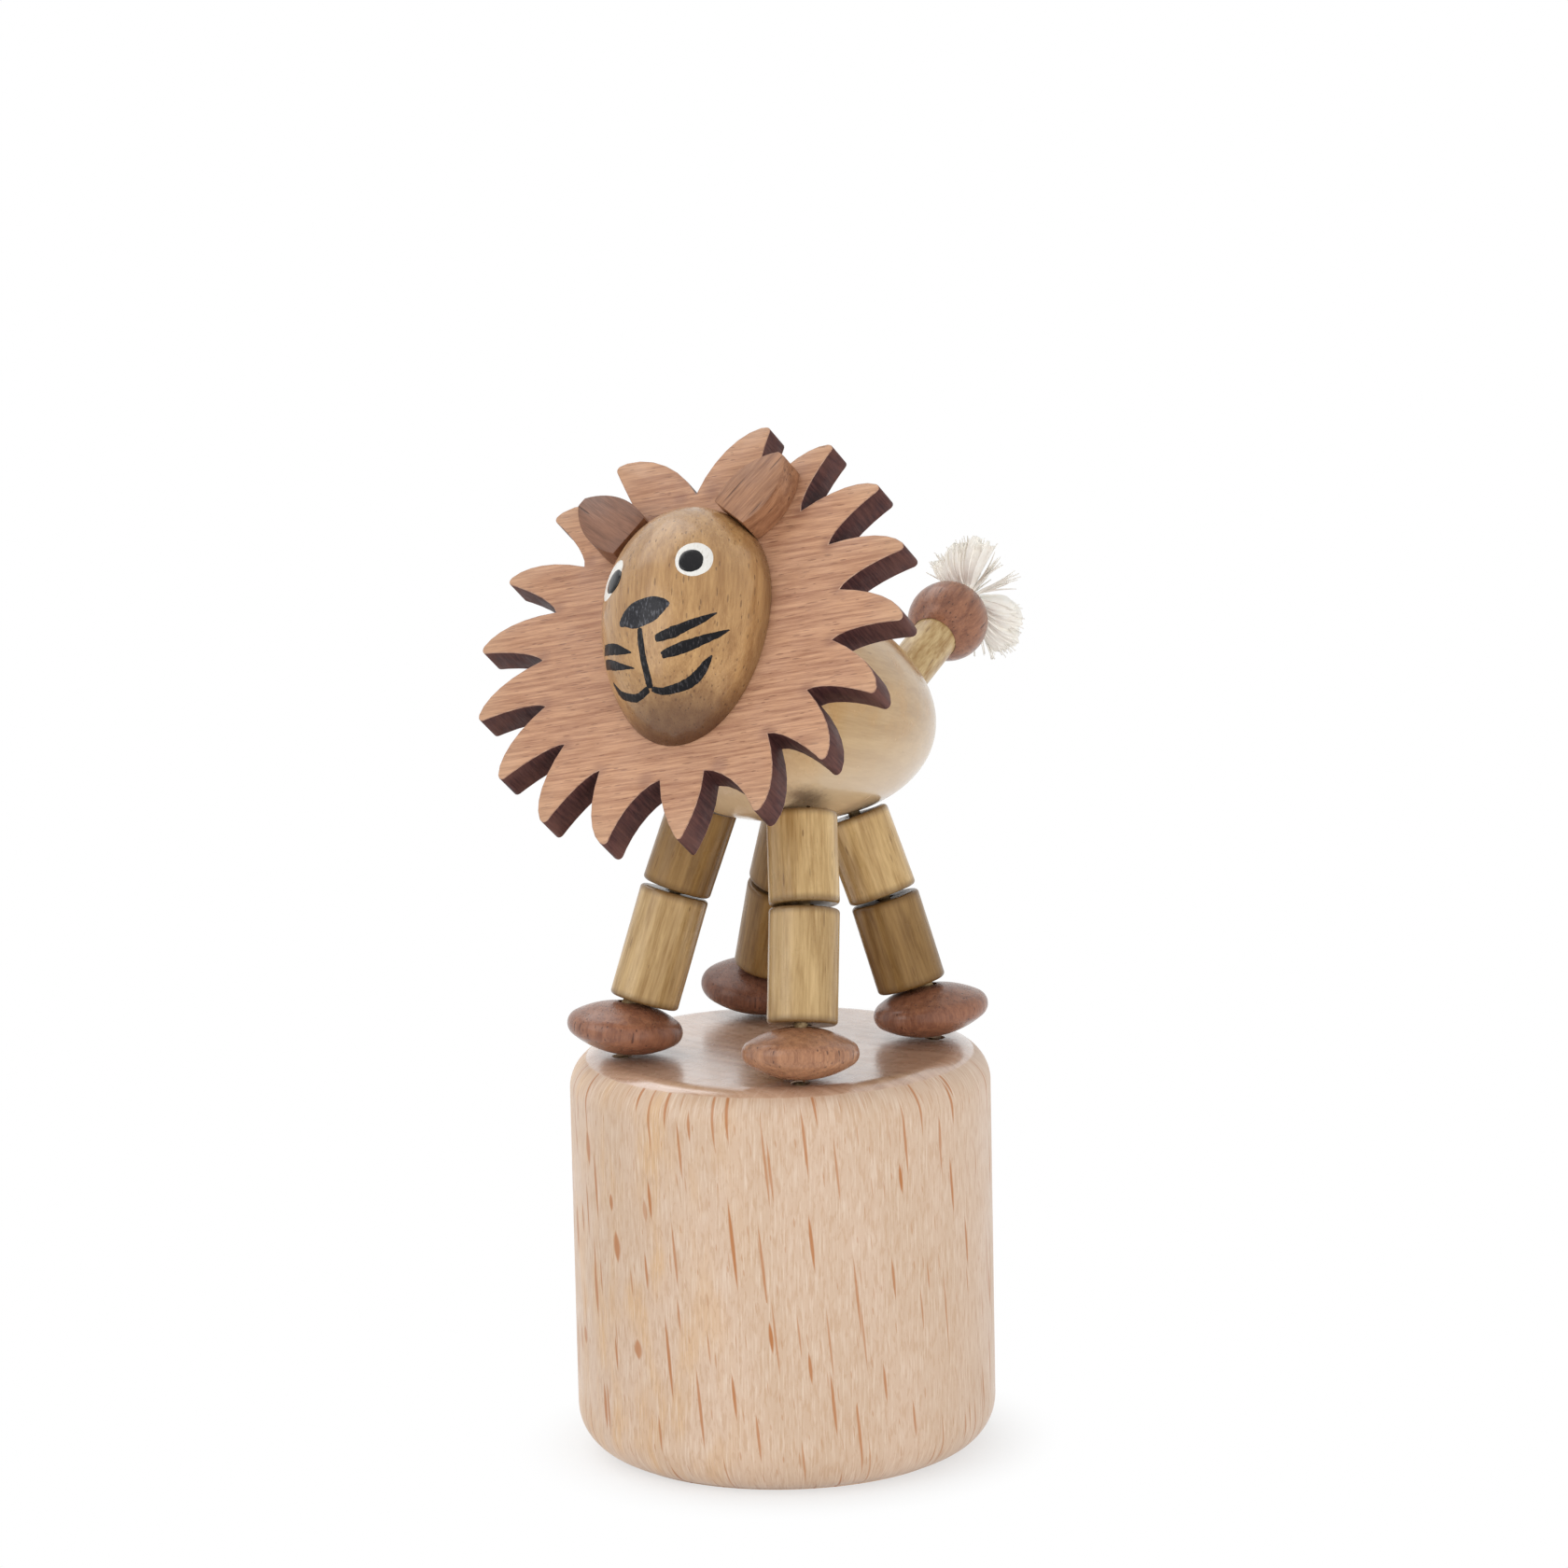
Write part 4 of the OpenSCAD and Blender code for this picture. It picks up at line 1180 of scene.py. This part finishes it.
def make_leads(cotton):
    """The threads from the button up to the deck, and the knots that hold them under it."""
    points, knots = points_of("base_threads"), points_of("thread_knots")

    def quarter(cloud, sx, sy):
        return cloud[(cloud[:, 0] * sx > 0) & (cloud[:, 1] * sy > 0)]

    runs, tied = [], []
    for sx in (-1, 1):
        for sy in (-1, 1):
            own, ball = quarter(points, sx, sy), quarter(knots, sx, sy)
            height = own[:, 2]
            bottom = Vector(own[height < height.min() + LEAD_FOOT].mean(0))
            top = Vector(own[height > height.max() - LEAD_HEAD].mean(0))
            bend = Vector(own[np.abs(height - DECK_Z) < LEAD_BEND].mean(0))
            straight = bottom + Vector((0, 0, LEAD_STRAIGHT))
            runs.append(smooth_curve(
                [bottom, straight, (straight + bend) / 2, bend, (bend + top) / 2, top], 6))
            tied.append(knot_loop(Vector(ball.mean(0)), np.ptp(ball[:, 2]) / 2))
    leads = add_piece("thread_leads", tube_mesh(runs, thread_r), "base", "thread", cotton)
    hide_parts("base_threads")
    squash_with_button(leads)
    knot = add_piece(
        "tied_knots", tube_mesh(tied, thread_r * KNOT_THREAD), "button", "thread", cotton)
    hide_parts("thread_knots")


# The frayed tail's brushes: from and to round the tail in degrees (0 is the lion's left, 270 is
# up), and the reach from the tail's line in millimetres, at equal shares between them.
TUFT_SEED = 11
TUFT_BRUSHES = [
    (216, 308, (3.2, 3.6, 3.8, 4.0, 4.6, 5.5, 5.3)),
    (12, 84, (3.7, 4.3, 4.7, 5.1, 5.5, 5.5)),
]
# How far a brush swells towards the bead and away from it, in millimetres.
TUFT_THICK = (2.0, 3.4)
# A brush's grid, and its locks: columns in each, how ragged its end is and how deep its ridge.
TUFT_COLUMNS, TUFT_ROWS = 132, 18
TUFT_LOCKS = ((3, 0.16, 0.07), (11, 0.3, 0.08))
# Thin wisps beside the brushes: direction and reach.
TUFT_WISPS = [(318, 4.6), (341, 4.8), (98, 5.5)]
# Strands loose in each brush, in each wisp, and short in the middle; points along each.
BRUSH_STRANDS, WISP_STRANDS, MIDDLE_STRANDS = 70, 9, 90
STRAND_POINTS = 9
# A strand starts this far from the tail's line and below the bead's pole, and soon rises.
STRAND_START, STRAND_SUNK, STRAND_RISE = 0.4, 0.3, 0.9
STRAND_ROOT_R, STRAND_TIP_R = 0.1, 0.04
# How far the root that plugs the bead's bore comes out of it.
PLUG_OUT = 0.7


def tuft_point(turn, reach, share, lift):
    """A place on a strand that rises from the bead's far pole and folds out over it."""
    across = STRAND_START + (reach - STRAND_START) * share
    rise = tail_bead_r - STRAND_SUNK + STRAND_RISE * min(1, share / 0.25) ** 0.5 + lift * share
    return tail @ (Vector((math.cos(turn) * across, math.sin(turn) * across, rise)) * MM)


def brush_mesh(start, stop, reaches, chance):
    """One dense brush with ridges and a ragged end."""
    shares = np.linspace(0, 1, TUFT_COLUMNS + 1)
    reach = np.interp(shares, np.linspace(0, 1, len(reaches)), reaches)
    ridge = np.ones(TUFT_COLUMNS + 1)
    for size, ragged, deep in TUFT_LOCKS:
        for first in range(0, TUFT_COLUMNS + 1, size):
            reach[first:first + size] += chance.uniform(-ragged, ragged)
            ridge[first:first + size] += chance.uniform(-deep, deep)
    ridge *= np.minimum(1, 0.2 + 8 * np.minimum(shares, 1 - shares))
    upper, lower = [], []
    for i in range(TUFT_ROWS + 1):
        share = i / TUFT_ROWS
        for j in range(TUFT_COLUMNS + 1):
            turn = math.radians(start + (stop - start) * shares[j])
            taper = ridge[j] * (1.04 - share ** 2)
            lower.append(tuft_point(turn, reach[j], share, 0.3 - TUFT_THICK[0] * taper))
            upper.append(tuft_point(turn, reach[j], share, 0.3 + TUFT_THICK[1] * taper))
    return sheet_mesh("tuft brush", upper, lower, TUFT_COLUMNS + 1)


def plug_mesh():
    """The tuft's root, as wide as the bead's bore, with a round end."""
    root = [tail.inverted() @ Vector(point) / MM for point in points_of("tail_tuft")]
    low = min(point.z for point in root)
    wide = max(math.hypot(point.x, point.y) for point in root if point.z < low + 0.1) * MM
    run = [tail @ Vector((0, 0, z * MM)) for z in np.linspace(low, tail_bead_r + PLUG_OUT, 18)]
    return tube_mesh([run], lambda share: wide * (1.05 - max(0, share * 4 - 3) ** 2), 16)


def make_tuft():
    """Frayed cotton: two dense brushes, loose strands and a few wisps."""
    chance = random.Random(TUFT_SEED)
    meshes, loose, runs = [], [], []
    shares = np.linspace(0, 1, STRAND_POINTS)
    for start, stop, reaches in TUFT_BRUSHES:
        meshes.append(brush_mesh(start, stop, reaches, chance))
        for _ in range(BRUSH_STRANDS):
            share = chance.random()
            turn = math.radians(start + (stop - start) * share + chance.gauss(0, 2))
            long = np.interp(share, np.linspace(0, 1, len(reaches)), reaches)
            loose.append((turn, long + chance.uniform(-0.3, 0.5)))
    for way, long in TUFT_WISPS:
        for _ in range(WISP_STRANDS):
            turn = math.radians(way + chance.gauss(0, 2.5))
            loose.append((turn, long + chance.gauss(0, 0.3)))
    for turn, long in loose:
        lift, bend = chance.uniform(-0.3, 0.7), chance.gauss(0, 0.06)
        runs.append([tuft_point(turn + bend * t * t, long, t, lift) for t in shares])
    for _ in range(MIDDLE_STRANDS):
        turn, long = chance.uniform(0, 2 * math.pi), chance.uniform(0.6, 2.4)
        lift = chance.uniform(0.6, 1.9)
        runs.append([tuft_point(turn, long, t, lift) for t in shares])

    def strand_r(share):
        return (STRAND_ROOT_R + (STRAND_TIP_R - STRAND_ROOT_R) * share) * MM

    meshes += [tube_mesh(runs, strand_r, 5), plug_mesh()]
    fluff = cotton_material("tail cotton", srgb(254, 252, 246), srgb(251, 247, 239))
    piece = add_piece("tail_brush", joined_mesh("tail_brush", meshes), "torso", "cotton", fluff)
    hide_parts("tail_tuft")


# The studio.
WHITE = (1, 1, 1, 1)
ROOM_LIGHT = 0.5
FLOOR_GREY = (0.9, 0.9, 0.9, 1)
FLOOR_HALF = 4.0
# How white the floor is to the camera under the puppet, and the radii over which it grows white.
FLOOR_GLOW = 0.62
FLOOR_FADE = (0.0125, 0.0215)
# Softboxes: metres across the view, towards the camera and up, size, power, and whether they
# mirror. They point at this height, in millimetres.
LAMP_AIM_Z = 45
LAMPS = [
    ("left window", -0.55, 0.30, 0.42, (0.5, 0.6), 1.7, True),
    ("low reflector", 0.45, 0.62, 0.13, (0.6, 0.22), 2.3, False),
    ("overhead", -0.30, -0.35, 0.72, (0.6, 0.5), 1.8, True),
]


def make_camera():
    """The photograph's camera. Gives the ways across the view and level towards the camera."""
    azimuth, elevation = math.radians(CAMERA_AZIMUTH), math.radians(CAMERA_ELEVATION)
    roll = math.radians(CAMERA_ROLL)
    right = Vector((math.cos(azimuth), math.sin(azimuth), 0))
    toward = Vector((math.sin(azimuth), -math.cos(azimuth), 0))
    back = toward * math.cos(elevation) + Vector((0, 0, math.sin(elevation)))
    up = back.cross(right)
    rolled_right = right * math.cos(roll) - up * math.sin(roll)
    rolled_up = up * math.cos(roll) + right * math.sin(roll)
    data = bpy.data.cameras.new("camera")
    data.sensor_width = 36
    data.lens = CAMERA_LENS
    data.shift_x = CAMERA_SHIFT_X
    data.clip_start = 0.01
    data.clip_end = 50
    camera = bpy.data.objects.new("camera", data)
    place = Matrix((rolled_right, rolled_up, back)).transposed().to_4x4()
    place.translation = Vector((0, 0, CAMERA_TARGET_Z * MM)) + back * CAMERA_DISTANCE * MM
    camera.matrix_world = place
    bpy.context.scene.collection.objects.link(camera)
    bpy.context.scene.camera = camera
    return right, toward


def seen_directly(s):
    """1 for rays that look at the room itself or its reflection, 0 for rays that only light."""
    path = s.add("ShaderNodeLightPath").outputs
    looked_at = s.calc("MAXIMUM", path["Is Camera Ray"], path["Is Glossy Ray"])
    return s.calc("MAXIMUM", looked_at, path["Is Transmission Ray"])


def make_room():
    scene = bpy.context.scene
    scene.view_settings.view_transform = "Standard"
    scene.world = bpy.data.worlds.new("white room")
    s = cleared_shader(scene.world)
    light = s.lerp(seen_directly(s), ROOM_LIGHT, 1.0)
    background = s.add("ShaderNodeBackground", {"Color": WHITE, "Strength": light})
    s.add("ShaderNodeOutputWorld", {0: background.outputs[0]})

    mesh = bpy.data.meshes.new("floor")
    corners = [(x * FLOOR_HALF, y * FLOOR_HALF, 0) for x, y in ((-1, -1), (1, -1), (1, 1), (-1, 1))]
    mesh.from_pydata(corners, [], [(0, 1, 2, 3)])
    floor = bpy.data.objects.new("floor", mesh)
    scene.collection.objects.link(floor)
    material = bpy.data.materials.new("white floor")
    s = cleared_shader(material)
    x, y, _ = s.split(s.add("ShaderNodeTexCoord").outputs["Object"])
    white = s.lerp(s.step(s.length(x, y), *FLOOR_FADE), FLOOR_GLOW, 1.0)
    paper = s.add("ShaderNodeBsdfDiffuse", {"Color": FLOOR_GREY})
    glow = s.add("ShaderNodeEmission", {"Color": WHITE, "Strength": 1.0})
    blend = s.add("ShaderNodeMixShader", {
        0: s.times(seen_directly(s), white), 1: paper.outputs[0], 2: glow.outputs[0]})
    s.add("ShaderNodeOutputMaterial", {0: blend.outputs[0]})
    mesh.materials.append(material)


def make_lamps(right, toward):
    aim = Vector((0, 0, LAMP_AIM_Z * MM))
    for name, across, near, high, size, power, mirrored in LAMPS:
        data = bpy.data.lights.new(name, "AREA")
        data.shape = "RECTANGLE"
        data.size, data.size_y = size
        data.energy = power
        lamp = bpy.data.objects.new(name, data)
        lamp.visible_glossy = mirrored
        lamp.location = right * across + toward * near + Vector((0, 0, high))
        lamp.rotation_euler = (aim - lamp.location).to_track_quat("-Z", "Y").to_euler()
        bpy.context.scene.collection.objects.link(lamp)


make_room()
make_lamps(*make_camera())
dress_base()
dress_legs()
dress_torso()
make_mane()
make_ears()
dress_face()
paint_face()
make_spring()
make_leads(make_threads())
make_tuft()
